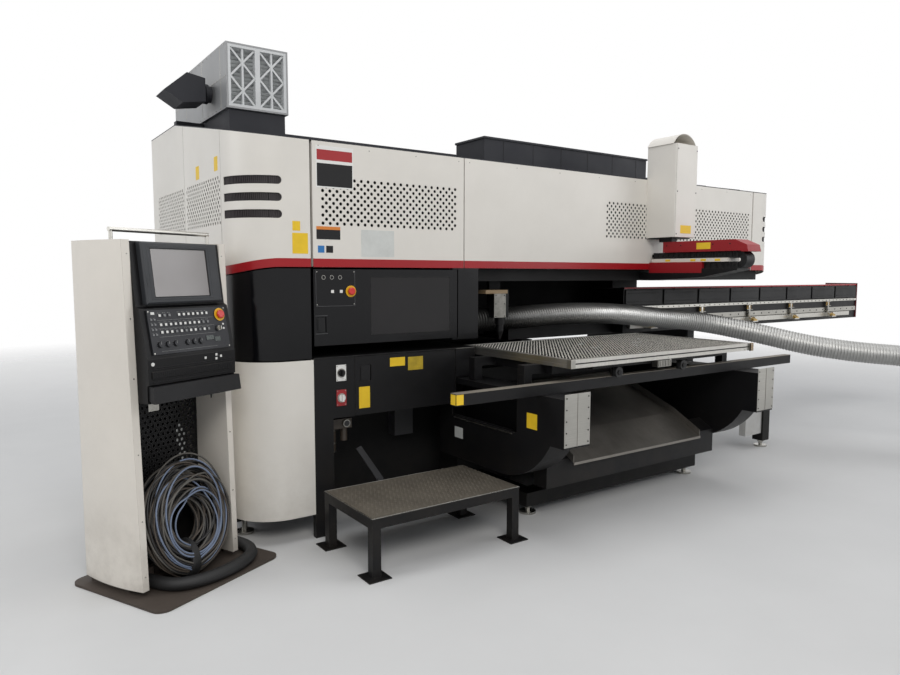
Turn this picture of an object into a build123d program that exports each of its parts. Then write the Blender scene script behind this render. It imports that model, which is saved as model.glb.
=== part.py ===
from build123d import *
import math
import os

# Laser cutting machine with a bridge frame, a pass slot for sheet, a brush table, an
# X-Y sheet carriage and a stand-alone operator console.
# Millimetres. X runs along the front to the right, Y away from the operator, Z up.
# The origin is on the floor, at mid length, in the plane of the front covers.

# Driving dimensions of the covered body
half_length = 2580.0
depth = 1920.0
corner_radius = 280.0
corner_width = 410.0
sheet = 3.0
flange = 30.0
seam = 6.0
cover_top = 2293.0
cover_bottom = 1587.0
stripe_height = 48.0
stripe_thickness = 2.0
stripe_gap = 0.1
stripe_dip = 45.0
dip_length = 220.0
ridge_y = 1240.0
ridge_top = 2528.0
front_joint_a = -1095.0
front_joint_b = 1000.0
side_joint_y = 1047.0

# Slots round the upper corner covers
slot_height = 45.0
slot_reach = 246.0
slot_back_y = 240.0
slot_levels = (2060.0, 1968.0, 1876.0)

# Welded bridge frame
wall = 20.0
upper_beam_depth = 1040.0
throat_left = -980.0
throat_top = 1500.0
slot_bottom = 1066.0
slot_top = 1132.0
slot_depth = 1400.0
base_top = 880.0
base_right = 900.0
base_front = 200.0
foot_height = 60.0
leg_x = 2085.0
leg_y = -214.0
leg_size = 100.0
leg_top = 690.0

# Black band, window door and cabinet under the upper covers
band_recess = 8.0
band_bottom = 1062.0
door_right = -1152.0
door_thickness = 28.0
pin_radius = 7.0
pin_clearance = 0.1
pin_length = 16.0
hinge_plate = 10.0
hinge_inset = 16.0
hinge_gap = 8.0
white_cover_bottom = 145.0
white_cover_top = 1056.0
post_right = -2043.0
switch_right = -1901.0
cabinet_right = -1168.0
cabinet_bottom = 700.0
cabinet_top = 1060.0

# Push buttons
estop_radius = 22.0
button_size = 17.0
button_travel = 4.0
guide_clearance = 0.05

# Step
step_left = -2163.0
step_right = -1194.0
step_front = -684.0
step_back = -122.0
step_top = 314.0
step_tube = 50.0
step_foot = 130.0
tread_thickness = 5.0

# Brush table and what carries it
table_left = -1000.0
table_right = 778.0
table_front = -896.0
table_back = 147.0
table_top = 1065.0
rim_height = 50.0
rim_width = 32.0
bristle_pitch = 34.0
bristle_width = 10.0
bristle_height = 6.0
roller_radius = 32.0
roller_width = 26.0
roller_centre_z = 958.0
axle_radius = 9.0
bumper_left = -1740.0
bumper_right = 1440.0
bumper_front = -815.0
bumper_back = -765.0
bumper_bottom = 867.0
bumper_top = 930.0

# Chute between two wings
wing_front = -1000.0
wing_back = 200.0
wing_width = 192.0
wing_left = -1146.0
wing_right_inner = 702.0
wing_top = 867.0
wing_low = 335.0
wing_nose_low = 590.0
wing_plate_thickness = 3.0
chute_left = -770.0
chute_right = 490.0
chute_lip_y = -700.0
chute_lip_z = 396.0
chute_fold_y = -456.0
chute_fold_z = 528.0
chute_end_y = 150.0
chute_end_z = 760.0
chute_sheet = 4.0

# Cutting head
head_x = -644.0
head_y = 184.0
head_width = 110.0
head_travel = 60.0

# Cross beam and sheet carriage
beam_left = -200.0
beam_right = 2450.0
beam_front = 620.0
beam_depth = 330.0
beam_bottom = 1020.0
beam_top = 1180.0
carriage_left = 1000.0
carriage_right = 5200.0
carriage_front = 480.0
carriage_top = 1420.0
carriage_depth = 360.0
clamp_pitch = 800.0
clamp_first = 1300.0
clamp_width = 90.0
clamp_axis_y = 420.0
clamp_axis_z = 1096.0

# Cable tower over the front cover
tower_left = 695.0
tower_right = 955.0
tower_front = -275.0
tower_bottom = 1835.0
tower_top = 2540.0
tray_left = 740.0
tray_right = 900.0
tray_front = -838.0
tray_back = -20.0
tray_cover_back = -134.0
chain_height = 48.0
chain_bend_radius = 62.0
chain_width = 100.0
link_pitch = 48.0

# Roof and filter unit
duct_box_left = -560.0
duct_box_right = 1260.0
duct_box_front = 484.0
filter_left = -2404.0
filter_right = -2007.0
filter_front = 684.0
filter_back = depth - 14
filter_bottom = ridge_top + 40
filter_height = 395.0
filter_top = filter_bottom + filter_height
pleat_pitch = 24.0

# Flexible duct
duct_radius = 86.0
duct_wall = 3.0

# Operator console, turned about the vertical axis
console_x = -3167.0
console_y = -267.0
console_turn = 26.0
console_width = 600.0
console_depth = 430.0
console_height = 1705.0
console_side = 34.0
console_bow = 22.0


def block(x, y, z):
    """Box between the pairs of limits x, y and z."""
    size = (x[1] - x[0], y[1] - y[0], z[1] - z[0])
    centre = ((x[0] + x[1]) / 2, (y[0] + y[1]) / 2, (z[0] + z[1]) / 2)
    return Pos(*centre) * Box(*size)


def rod(centre, radius, length, direction="Z"):
    """Cylinder about a centre point, along X, Y or Z."""
    turn = {"X": Rot(0, 90, 0), "Y": Rot(90, 0, 0), "Z": Rot(0, 0, 0)}[direction]
    return Pos(*centre) * turn * Cylinder(radius, length)


def prism_x(points, x):
    """Solid with a Y-Z outline, between two values of X."""
    outline = Plane.YZ * make_face(Polyline(*points, close=True))
    return Pos(x[0], 0, 0) * extrude(outline, x[1] - x[0])


def prism_y(points, y):
    """Solid with an X-Z outline, between two values of Y."""
    outline = Plane.XZ * make_face(Polyline(*points, close=True))
    return Pos(0, y[0], 0) * extrude(outline, -(y[1] - y[0]))


def hollow(x, y, z, thickness):
    """Closed welded box section."""
    inside = block((x[0] + thickness, x[1] - thickness), (y[0] + thickness, y[1] - thickness),
                   (z[0] + thickness, z[1] - thickness))
    return block(x, y, z) - inside


def tube_x(x, y, z, thickness):
    """Box section with open ends along X."""
    inside = block((x[0] - 1, x[1] + 1), (y[0] + thickness, y[1] - thickness),
                   (z[0] + thickness, z[1] - thickness))
    return block(x, y, z) - inside


def pan_front(x, z, y=0.0, thickness=sheet, lip=flange):
    """Folded panel that faces the operator, with its flanges turned inwards."""
    inside = block((x[0] + thickness, x[1] - thickness), (y + thickness, y + lip + 1),
                   (z[0] + thickness, z[1] - thickness))
    return block(x, (y, y + lip), z) - inside


def corner_arc(radius, height_low, height_high, inner):
    """Quarter-round wall of the left corner, with straight run to the corner joint."""
    centre_x = -half_length + corner_radius
    joint_x = -half_length + corner_width

    def plan(r):
        y_front = corner_radius - r
        x_side = centre_x - r
        middle = (centre_x - r * math.sin(math.pi / 4), corner_radius - r * math.cos(math.pi / 4))
        edge = Line((joint_x, y_front), (centre_x, y_front)) + ThreePointArc(
            (centre_x, y_front), middle, (x_side, corner_radius))
        close = Polyline((x_side, corner_radius), (joint_x, corner_radius), (joint_x, y_front))
        return make_face(edge + close)

    outer = extrude(plan(radius), height_high - height_low)
    core = extrude(plan(inner), height_high - height_low)
    shell = outer - core
    return Pos(0, 0, height_low) * shell


def dip_profile(z_flat, z_top, extra):
    """X-Z outline whose lower edge drops towards the left end of the corner."""
    left = -half_length - extra
    start = -half_length + dip_length
    right = -half_length + corner_width
    middle_x = (left + start) / 2
    lower = ThreePointArc((left, z_flat - stripe_dip), (middle_x, z_flat - stripe_dip * 0.3),
                          (start, z_flat))
    rest = Polyline((start, z_flat), (right, z_flat), (right, z_top), (left, z_top),
                    (left, z_flat - stripe_dip))
    face = Plane.XZ * make_face(lower + rest)
    return Pos(0, -50, 0) * extrude(face, -(corner_radius + 100))


def mirrored(shape):
    """The same piece at the right end of the machine."""
    return mirror(shape, about=Plane.YZ)


def fuse(shapes):
    """Joins the members of one welded or moulded piece."""
    first, *others = shapes
    return first.fuse(*others) if others else first


def route(points):
    """Straight runs joined by tangent arcs, each as large as its two runs allow."""
    radii = []
    for a, b, c in zip(points, points[1:], points[2:]):
        before = Vector(*b) - Vector(*a)
        after = Vector(*c) - Vector(*b)
        half_turn = math.radians(before.get_angle(after)) / 2
        radii.append(0.45 * min(before.length, after.length) / math.tan(half_turn))
    return FilletPolyline(*points, radius=radii)


def console_place(shape):
    """Moves a shape from the console's own frame to the machine's frame."""
    return Pos(console_x, console_y, 0) * Rot(0, 0, console_turn) * shape


parts = {}


def keep(name, *shapes):
    """Keeps one named node, of one or several solids."""
    solids = [s for shape in shapes for s in shape.solids()]
    parts[name] = solids[0] if len(solids) == 1 else Compound(children=solids)


# Upper covers
joint_gap = 14.0
corner_joint = -half_length + corner_width
front_seams = (corner_joint + joint_gap, front_joint_a, front_joint_b, -corner_joint - joint_gap)
stripe_top = cover_bottom + stripe_height
roof_rise = (ridge_top - cover_top) / ridge_y


def roof_height(y):
    """Height of the roof line at a distance behind the front plane."""
    return min(ridge_top, cover_top + roof_rise * y)


def slot_cutter(level):
    """Round-ended slot from the side seam round the corner."""
    end = slot_height / 2
    slot_tip_x = -half_length + slot_reach
    bar = block((-half_length - 10, slot_tip_x - end), (-10, slot_back_y),
                (level - end, level + end))
    tip = rod((slot_tip_x - end, slot_back_y / 2 - 5), end, slot_back_y + 10, "Y")
    return bar + Pos(0, 0, level) * tip


def corner_cover():
    """Curved upper corner cover with three slots and folded ends."""
    high = roof_height(corner_radius)
    shell = corner_arc(corner_radius, cover_bottom - stripe_dip, high, corner_radius - sheet)
    shell = shell & dip_profile(cover_bottom, high, 1.0)
    low = cover_bottom - stripe_dip + 1
    end_lip = block((corner_joint - sheet, corner_joint), (0, flange), (cover_bottom, cover_top))
    side_lip = block((-half_length, -half_length + flange),
                     (corner_radius - sheet, corner_radius), (low, high))
    cover = fuse([shell, end_lip, side_lip])
    for level in slot_levels:
        cover = cover - slot_cutter(level)
    above_roof = [(0, cover_top), (corner_radius, high), (corner_radius, high + 10), (-1, high + 10),
                  (-1, cover_top)]
    return cover - prism_x(above_roof, (-half_length - 1, corner_joint + 1))


def stripe_arc():
    """Red trim strip round the corner, dropping towards the side."""
    band = corner_arc(corner_radius + stripe_thickness, cover_bottom - stripe_dip, stripe_top,
                      corner_radius + stripe_gap)
    low = dip_profile(cover_bottom, cover_top, stripe_thickness + 1.0)
    high = dip_profile(stripe_top, cover_top, stripe_thickness + 1.0)
    return band & (low - high)


def side_stripe():
    """Red trim strip along the side panels."""
    low = cover_bottom - stripe_dip
    strips = []
    for y in ((corner_radius + seam, side_joint_y - seam), (side_joint_y, depth)):
        strips.append(block((-half_length - stripe_thickness, -half_length), y,
                            (low, low + stripe_height)))
    return strips


keep("corner_cover_left", corner_cover())
keep("corner_cover_right", mirrored(corner_cover()))
panel_names = ("front_panel_left", "front_panel_middle", "front_panel_right")
front_strips = []
for name, left, right in zip(panel_names, front_seams[:-1], front_seams[1:]):
    end = right if name == panel_names[-1] else right - seam
    keep(name, pan_front((left, end), (cover_bottom, cover_top)))
    front_strips.append(block((left, end), (-stripe_thickness, 0), (cover_bottom, stripe_top)))
side_strips = side_stripe()
keep("red_trim_strips", stripe_arc(), mirrored(stripe_arc()), *front_strips, *side_strips,
     *[mirrored(strip) for strip in side_strips])


def side_panel(y_front, y_back):
    """Upper side panel whose top edge follows the roof line."""
    low = cover_bottom - stripe_dip
    outline = [(y_front, low), (y_back, low), (y_back, roof_height(y_back)),
               (y_front, roof_height(y_front))]
    if y_front < ridge_y < y_back:
        outline.insert(3, (ridge_y, ridge_top))
    face = make_face(Polyline(*outline, close=True))
    inner = offset(face, -sheet)
    body = extrude(Plane.YZ * face, flange)
    core = Pos(sheet, 0, 0) * extrude(Plane.YZ * inner, flange)
    return Pos(-half_length, 0, 0) * (body - core)


def pan_side(y, z):
    """Flat side panel with flanges turned inwards."""
    inside = block((-half_length + sheet, -half_length + flange + 1), (y[0] + sheet, y[1] - sheet),
                   (z[0] + sheet, z[1] - sheet))
    return block((-half_length, -half_length + flange), y, z) - inside


side_runs = ((corner_radius + seam, side_joint_y - seam), (side_joint_y, depth - sheet))
upper_side = [side_panel(*run) for run in side_runs]
lower_side = [pan_side(run, (white_cover_bottom, white_cover_top)) for run in side_runs]
keep("left_side_panels", *upper_side, *lower_side)
rear_low = cover_bottom - stripe_dip
rear_sheet = block((-half_length, half_length), (depth - sheet, depth), (rear_low, ridge_top))
rear_lower = block((-half_length, -1010), (depth - sheet, depth),
                   (white_cover_bottom, rear_low - seam))
keep("rear_panels", rear_sheet, rear_lower, *[mirrored(panel) for panel in upper_side])

# Roof sheet, ridge trim and the long dark duct box
roof_edge = 6.0
roof_points = [(0, cover_top), (ridge_y, ridge_top), (depth, ridge_top),
               (depth, ridge_top + roof_edge), (ridge_y, ridge_top + roof_edge),
               (0, cover_top + roof_edge)]
roof_sheet = prism_x(roof_points, (-half_length + corner_radius, half_length - corner_radius))
roof_wing_points = [(corner_radius, roof_height(corner_radius)), (ridge_y, ridge_top),
                    (depth, ridge_top), (depth, ridge_top + roof_edge),
                    (ridge_y, ridge_top + roof_edge),
                    (corner_radius, roof_height(corner_radius) + roof_edge)]
roof_wing = prism_x(roof_wing_points, (-half_length, -half_length + corner_radius))
corner_disc = Pos(-half_length + corner_radius, corner_radius, 0) * Cylinder(
    corner_radius, roof_edge * 200, align=(Align.CENTER, Align.CENTER, Align.CENTER))
corner_fill = prism_x([(0, cover_top), (corner_radius, roof_height(corner_radius)),
                       (corner_radius, roof_height(corner_radius) + roof_edge),
                       (0, cover_top + roof_edge)], (-half_length, -half_length + corner_radius))
corner_fill = corner_fill & (Pos(0, 0, cover_top) * corner_disc)
roof = fuse([roof_sheet, roof_wing, corner_fill, mirrored(roof_wing), mirrored(corner_fill)])
ridge_trim = block((-half_length + 12, half_length - 12), (ridge_y, ridge_y + 60),
                   (ridge_top + roof_edge, ridge_top + roof_edge + 28))
box_back = duct_box_front + 360
box_points = [(duct_box_front, roof_height(duct_box_front) + roof_edge),
              (box_back, roof_height(box_back) + roof_edge), (box_back, ridge_top + 25),
              (duct_box_front, ridge_top + 25)]
duct_box = prism_x(box_points, (duct_box_left, duct_box_right))
duct_box_face = make_face(Polyline(*box_points, close=True))
duct_box_inside = extrude(Plane.YZ * offset(duct_box_face, -sheet),
                          duct_box_right - duct_box_left - 2 * sheet)
duct_box = duct_box - Pos(duct_box_left + sheet, 0, 0) * duct_box_inside
box_cap = block((duct_box_left - 8, duct_box_right + 8), (duct_box_front - 8, box_back + 8),
                (ridge_top + 25, ridge_top + 40))
keep("roof_covers", fuse([roof, ridge_trim]), fuse([duct_box, box_cap]))

# Filter unit on its black base
plinth_points = [(filter_front + 20, roof_height(filter_front + 20) + roof_edge),
                 (ridge_y, ridge_top + roof_edge), (ridge_y, ridge_top + roof_edge + 28),
                 (ridge_y + 60, ridge_top + roof_edge + 28), (ridge_y + 60, ridge_top + roof_edge),
                 (filter_back - 20, ridge_top + roof_edge), (filter_back - 20, filter_bottom),
                 (filter_front + 20, filter_bottom)]
plinth = prism_x(plinth_points, (filter_left + 20, filter_right - 20))
housing = block((filter_left, filter_right), (filter_front, filter_back),
                (filter_bottom, filter_top))
mouth_wall = 12.0
mouth = block((filter_left + mouth_wall, filter_right - mouth_wall),
              (filter_front - 1, filter_front + 120),
              (filter_bottom + mouth_wall, filter_top - mouth_wall))
chamber = block((filter_left + sheet, filter_right - sheet),
                (filter_front + 120 + sheet, filter_back - sheet),
                (filter_bottom + sheet, filter_top - sheet))
keep("filter_housing", housing - mouth - chamber, plinth)


def filter_panel(left, right):
    """Pleated filter in its white frame with crossed braces."""
    low = filter_bottom + mouth_wall
    high = filter_top - mouth_wall
    rim = 16.0
    frame = block((left, right), (filter_front, filter_front + 90), (low, high))
    frame = frame - block((left + rim, right - rim), (filter_front - 1, filter_front + 91),
                          (low + rim, high - rim))
    folds = int((high - low - 2 * rim) / pleat_pitch)
    pitch = (high - low - 2 * rim) / folds
    front = [(filter_front + 22, low + rim)]
    for i in range(folds):
        front.append((filter_front + 62, low + rim + (i + 0.5) * pitch))
        front.append((filter_front + 22, low + rim + (i + 1) * pitch))
    back = [(y + 14, z) for y, z in reversed(front)]
    media = prism_x(front + back, (left + rim, right - rim))
    pieces = [frame, media]
    brace = 12.0
    width = right - left - 2 * rim
    half = (high - low - 2 * rim) / 2
    for step in range(2):
        z0 = low + rim + step * half
        for z_a, z_b in ((z0, z0 + half), (z0 + half, z0)):
            direction = math.degrees(math.atan2(z_b - z_a, width))
            length = math.hypot(z_b - z_a, width) + 6
            bar = Box(length, 7, brace)
            middle = ((left + right) / 2, filter_front + 12, (z_a + z_b) / 2)
            pieces.append(Pos(*middle) * Rot(0, -direction, 0) * bar)
    post = block(((left + right) / 2 - brace / 2, (left + right) / 2 + brace / 2),
                 (filter_front + 7, filter_front + 32), (low + rim - 2, high - rim + 2))
    pieces.append(post)
    return fuse(pieces)


filter_middle = (filter_left + filter_right) / 2
keep("filter_panels", filter_panel(filter_left + mouth_wall, filter_middle),
     filter_panel(filter_middle, filter_right - mouth_wall))

# Air inlet hood on the left of the filter housing
spigot_y = 1020.0
spigot_z = filter_bottom + 140
spigot_radius = 52.0
spigot_length = 62.0
spigot = rod((filter_left - spigot_length / 2, spigot_y, spigot_z), spigot_radius, spigot_length,
             "X")
ring = rod((filter_left - spigot_length / 2, spigot_y, spigot_z), spigot_radius + 10, 20, "X")
hood_x = filter_left - spigot_length
hood_points = [(hood_x, spigot_z + 72), (hood_x, spigot_z - 72), (hood_x - 140, spigot_z - 96),
               (hood_x - 250, spigot_z - 30), (hood_x - 112, spigot_z + 92)]
hood = prism_y(hood_points, (spigot_y - 112, spigot_y + 112))
keep("exhaust_hood", fuse([spigot, ring, hood]))

# Welded bridge frame: side frames, upper beam, columns and rear web
frame_back = depth - sheet
end_left = -half_length + flange
end_inner = end_left + 150
beam_front_y = flange
beam_back_y = beam_front_y + upper_beam_depth + 10
beam_low = throat_top + 90
beam_high = 2180.0
column_front = 430.0
beam_end = half_length - 180
rear_post_y = frame_back - 361
rear_post_x = (beam_end - 350, beam_end + 50)
column_right = throat_left - wall
low_rail = 100.0


def end_frame():
    """Box frame behind the side panels at the left end."""
    return hollow((end_left, end_inner), (corner_radius - 20, frame_back),
                  (low_rail, beam_high), wall)


def rib(x, thickness=12.0):
    """Plate that carries the sloping roof."""
    points = [(beam_front_y, beam_high), (frame_back, beam_high), (frame_back, ridge_top),
              (ridge_y, ridge_top), (beam_front_y, roof_height(beam_front_y))]
    return prism_x(points, (x, x + thickness))


upper_beam = hollow((-beam_end, beam_end), (beam_front_y, beam_back_y), (beam_low, beam_high), wall)
rail_box = hollow((column_right, beam_end), (90, beam_back_y), (throat_top, beam_low), 12)
right_end = hollow((beam_end, half_length - flange), (corner_radius - 20, frame_back),
                   (beam_low - 90, beam_high), wall)
low_column = hollow((end_inner, column_right), (column_front, frame_back),
                    (low_rail, slot_bottom), wall)
high_column = hollow((end_inner, column_right), (column_front, frame_back),
                     (slot_top, beam_low), wall)
slot_web = block((end_inner, column_right), (slot_depth, frame_back), (slot_bottom, slot_top))
rear_beam = hollow((-beam_end, beam_end), (beam_back_y, frame_back), (beam_low, beam_low + 300),
                   wall)
right_column = hollow(rear_post_x, (rear_post_y, frame_back), (foot_height, beam_low - 90),
                      wall)
rear_web = block((column_right, rear_post_x[0]), (frame_back - 8, frame_back), (base_top, beam_low))
head_guide = block((head_x - 50, head_x + 50), (head_y + 60.3, head_y + 90),
                   (throat_top - 188, throat_top))
ribs = [rib(x) for x in (20 - beam_end, -1100.0, 0.0, 1100.0, beam_end - 32)]
keep("bridge_frame", upper_beam, rail_box, end_frame(), right_end, low_column, high_column,
     slot_web, rear_beam, right_column, rear_web, head_guide, *ribs)

# Base under the throat, floor rails, right outrigger and the guides of the cross beam
rail_height = 90.0
guide_width = 90.0
guide_low = 870.0
guide_front = 560.0
guide_top = beam_bottom
base_box = hollow((column_right, base_right), (base_front, frame_back), (foot_height, base_top),
                  wall)
front_rail = block((-900, base_right - 60), (-420, -300), (foot_height, rail_height + foot_height))
side_rails = [block((x, x + 110), (-300, base_front), (foot_height, rail_height + foot_height))
              for x in (-900.0, base_right - 110)]
left_guide = tube_x((-100, 0), (guide_front, frame_back - 30), (base_top, guide_top), 12)
leg = hollow((leg_x - leg_size / 2, leg_x + leg_size / 2),
             (leg_y - leg_size / 2, leg_y + leg_size / 2), (foot_height, leg_top), 8)
outrigger = hollow((leg_x - leg_size / 2, leg_x + leg_size / 2), (leg_y + leg_size / 2, rear_post_y),
                   (leg_top - 70, leg_top), 8)
right_guide = hollow((leg_x - leg_size / 2, leg_x + leg_size / 2), (guide_front, rear_post_y),
                     (leg_top, guide_top), 10)
cross_tie = hollow((base_right, leg_x - leg_size / 2), (base_front + 200, base_front + 300),
                   (leg_top - 70, leg_top), 8)
centre_rail = block((-55, 55), (-300, base_front), (foot_height, rail_height + foot_height))
keep("base_frame", base_box, fuse([front_rail, centre_rail, *side_rails]), left_guide, leg,
     outrigger, right_guide, cross_tie)

# Levelling feet
back_feet_y = frame_back - 111
left_feet_x = end_left + 75
foot_points = [(left_feet_x, 340), (left_feet_x, back_feet_y), (column_right - 90, 520),
               (column_right - 90, back_feet_y), (-60, back_feet_y),
               (base_right - 60, back_feet_y), (beam_end - 150, back_feet_y - 70),
               (leg_x, leg_y), (-840, -360), (base_right - 120, -360), (0, 0)]


def levelling_foot(x, y, seat):
    """Round pad with a screw that stands under the frame."""
    pad = Pos(x, y, 0) * Cylinder(55, 14, align=(Align.CENTER, Align.CENTER, Align.MIN))
    screw = Pos(x, y, 14) * Cylinder(16, seat - 14,
                                     align=(Align.CENTER, Align.CENTER, Align.MIN))
    nut = Pos(x, y, seat - 20) * extrude(RegularPolygon(26, 6), 20)
    return fuse([pad, screw, nut])


feet = []
for x, y in foot_points:
    under_columns = x < column_right
    feet.append(levelling_foot(x, y, low_rail if under_columns else foot_height))
keep("levelling_feet", *feet)

# Black middle band: curved corner, side run and the fixed panel beside the window door
band_radius = corner_radius - band_recess
band_top = cover_bottom - 8.0
band = corner_arc(band_radius, band_bottom, band_top, band_radius - sheet)
band = band - dip_profile(band_top, band_top + 200, 1.0)
band_lip = block((corner_joint - sheet, corner_joint), (band_recess, band_recess + flange),
                 (band_bottom, band_top))
side_low = band_top - stripe_dip
band_tab = block((-half_length + band_recess, end_left), (corner_radius - sheet, corner_radius),
                 (band_bottom, side_low))
side_runs_band = [
    block((-half_length + band_recess, end_left), run, (band_bottom, side_low))
    for run in side_runs]
fixed_left = door_right + hinge_gap
fixed_top = cover_bottom - 0.3
fixed_panel = block((fixed_left, throat_left), (0, sheet), (slot_top - hinge_plate, fixed_top))
fixed_side = block((throat_left - sheet, throat_left), (0, column_front),
                   (slot_top, throat_top))
fixed_neck = block((throat_left - sheet, throat_left), (0, 90), (throat_top, fixed_top))
hinge_x = door_right - hinge_inset
hinge_y = door_thickness / 2


def pivot(z_plate, z_pin):
    """Hinge plate on the fixed panel, with the pin that enters the window door."""
    plate = block((hinge_x - 20, fixed_left + 10), (0, door_thickness + 10),
                  (z_plate, z_plate + hinge_plate))
    return plate + rod((hinge_x, hinge_y, z_pin), pin_radius, pin_length)


lower_pivot = pivot(slot_top - hinge_plate, slot_top + pin_length / 2)
upper_pivot = pivot(fixed_top - hinge_plate, fixed_top - hinge_plate - pin_length / 2)
keep("band_covers", fuse([band, band_lip, band_tab]), *side_runs_band,
     fuse([fixed_panel, fixed_side, fixed_neck, lower_pivot, upper_pivot]))

# Lower white corner cover
lower_shell = corner_arc(corner_radius, white_cover_bottom, white_cover_top,
                         corner_radius - sheet)
lower_right = corner_joint + 7
lower_cover = fuse([
    lower_shell,
    block((corner_joint - 1, lower_right), (0, sheet), (white_cover_bottom, white_cover_top)),
    block((lower_right - sheet, lower_right), (0, flange), (white_cover_bottom, white_cover_top)),
    block((-half_length, end_left), (corner_radius - sheet, corner_radius),
          (white_cover_bottom, white_cover_top)),
])
keep("lower_corner_cover", lower_cover)

# Window door with its operator panel
door_left = corner_joint + joint_gap
door_low = slot_top + 2
door_high = fixed_top - hinge_plate - 2
operator_x = (-2146.0, -1895.0)
operator_z = (1360.0, door_high - 6)
operator_proud = 4.0
estop_x = -1925.0
estop_z = 1447.0
button_xs = (-2043.0, -1987.0)
latch_x = (-2140.0, -2080.0)
latch_z = (1212.0, 1300.0)
window_x = (-1800.0, -1200.0)
window_z = (1170.0, 1540.0)
door_sheet = 4.0
pin_bore = pin_radius + pin_clearance



def latch_pin(x, z, extra):
    """Pivot pin of a latch paddle, or its bore, let into the ends of the cup."""
    radius = latch_pin_radius + (guide_clearance if extra > 0 else 0)
    length = z[1] - z[0] + 2 * latch_seat + 2 * extra
    return rod((x[1] - 8, 9, (z[0] + z[1]) / 2), radius, length)


latch_pin_radius = 4.0
latch_seat = 4.0
latch_wall = 8.0
door = pan_front((door_left, door_right), (door_low, door_high), 0.0, door_sheet, door_thickness)
hinge_post = block((hinge_x - 14, door_right), (0, door_thickness), (door_low, door_high))
operator_plate = block(operator_x, (-operator_proud, 0), operator_z)
button_block = block((operator_x[0] + 20, operator_x[1] - 4), (0, 22),
                     (estop_z - 40, estop_z + 40))
latch_cup = block((latch_x[0] - 4, latch_x[1] + 4), (0, 24),
                  (latch_z[0] - latch_wall, latch_z[1] + latch_wall))
door = fuse([door, hinge_post, operator_plate, button_block, latch_cup])
door = door - block((window_x[0] + 14, window_x[1] - 14), (-1, 2),
                    (window_z[0] + 14, window_z[1] - 14))
door = door - block(latch_x, (-1, 20), latch_z) - latch_pin(latch_x, latch_z, 0.01)
for z_low in (door_low, door_high - pin_length - 2):
    door = door - rod((hinge_x, hinge_y, z_low + pin_length / 2 + 1), pin_bore,
                      pin_length + 2.02)
stem_radius = 9.0
door = door - rod((estop_x, 10, estop_z), stem_radius + guide_clearance, 60, "Y")
for x in button_xs:
    half = button_size / 2 + guide_clearance
    door = door - block((x - half, x + half), (-10, 40), (estop_z - half, estop_z + half))
guard_ring = rod((estop_x, -operator_proud - 2, estop_z), estop_radius + 12, 4, "Y")
guard_ring = guard_ring - rod((estop_x, -operator_proud - 2, estop_z),
                              stem_radius + guide_clearance, 10, "Y")
keep("front_window_door", door.fuse(guard_ring))


def mushroom(x, y_face, z):
    """Mushroom push button with its stem along Y."""
    stem = rod((x, y_face + 7, z), stem_radius, 34, "Y")
    cap = rod((x, y_face - button_travel - 11, z), estop_radius, 12, "Y")
    cap = chamfer(cap.edges().group_by(Axis.Y)[0], 4)
    return stem + cap


keep("door_estop", mushroom(estop_x, -operator_proud - 4, estop_z))
for name, x in zip(("door_button_left", "door_button_right"), button_xs):
    half = button_size / 2
    cap_front = -operator_proud - button_travel - 2
    keep(name, block((x - half, x + half), (cap_front, 16), (estop_z - half, estop_z + half)))
paddle_gap = 1.5
paddle_relief = 6.5
paddle = block((latch_x[0] + paddle_gap, latch_x[1] - paddle_relief), (1, 5),
               (latch_z[0] + paddle_gap, latch_z[1] - paddle_gap))
paddle_grip = block((latch_x[0] + 8, latch_x[0] + 26), (-3, 1), (latch_z[0] + 12, latch_z[1] - 12))
paddle_pin = latch_pin(latch_x, latch_z, -0.5)
barrel = block((latch_x[1] - 12, latch_x[1] - 4), (4, 9),
               (latch_z[0] + paddle_gap, latch_z[1] - paddle_gap))
keep("door_latch", fuse([paddle, paddle_grip, paddle_pin, barrel]))

# Lower cabinet: floor post, switch panel, case behind the door and table-level lip
cabinet_door_left = switch_right + 2
cabinet_hinge_x = cabinet_right - 14
cabinet_skin = 22.0
cabinet_hinge_y = cabinet_skin / 2
cabinet_front = cabinet_skin + 12
post_left = lower_right
post = block((post_left, post_right), (0, 40), (0, cabinet_top)) - block(
    (post_left + sheet, post_right - sheet), (sheet, 41), (-1, cabinet_top - sheet))
case = block((post_right, cabinet_right), (cabinet_front, column_front),
             (cabinet_bottom, cabinet_top))
case = case - block((post_right + sheet, cabinet_right - sheet),
                    (cabinet_front - 1, column_front - sheet),
                    (cabinet_bottom + sheet, cabinet_top - sheet))
switch_panel = block((post_right, switch_right), (0, sheet), (cabinet_bottom, cabinet_top))
switch_back = block((post_right, switch_right), (0, cabinet_front + 1),
                    (cabinet_bottom, cabinet_bottom + sheet))
switch_side = block((switch_right - sheet, switch_right), (0, cabinet_front + 1),
                    (cabinet_bottom, cabinet_top))
lip_right = table_left - 4
right_panel = block((cabinet_right + 6, lip_right), (0, sheet), (wing_top + 5, cabinet_top))
right_side = block((lip_right - sheet, lip_right), (0, base_front),
                   (wing_top + 5, cabinet_top))
hinge_side = block((cabinet_right + 6, cabinet_right + 10), (0, column_front),
                   (cabinet_bottom, cabinet_top))
lip = block((post_left, lip_right), (-4, column_front), (cabinet_top, slot_bottom))
lower_arm = block((cabinet_hinge_x - 12, cabinet_right + 8), (0, cabinet_front + 2),
                  (cabinet_bottom - 8, cabinet_bottom))
lower_stub = rod((cabinet_hinge_x, cabinet_hinge_y, cabinet_bottom + 8), pin_radius, 16)
upper_stub = rod((cabinet_hinge_x, cabinet_hinge_y, cabinet_top - 8), pin_radius, 16)
switch_z = (968.0, 820.0)
switch_x = -1992.0
switch_plate = 4.0
plates = [block((switch_x - 32, switch_x + 32), (-switch_plate, 0), (z - 48, z + 48))
          for z in switch_z]
spindle_radius = 6.0
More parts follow.
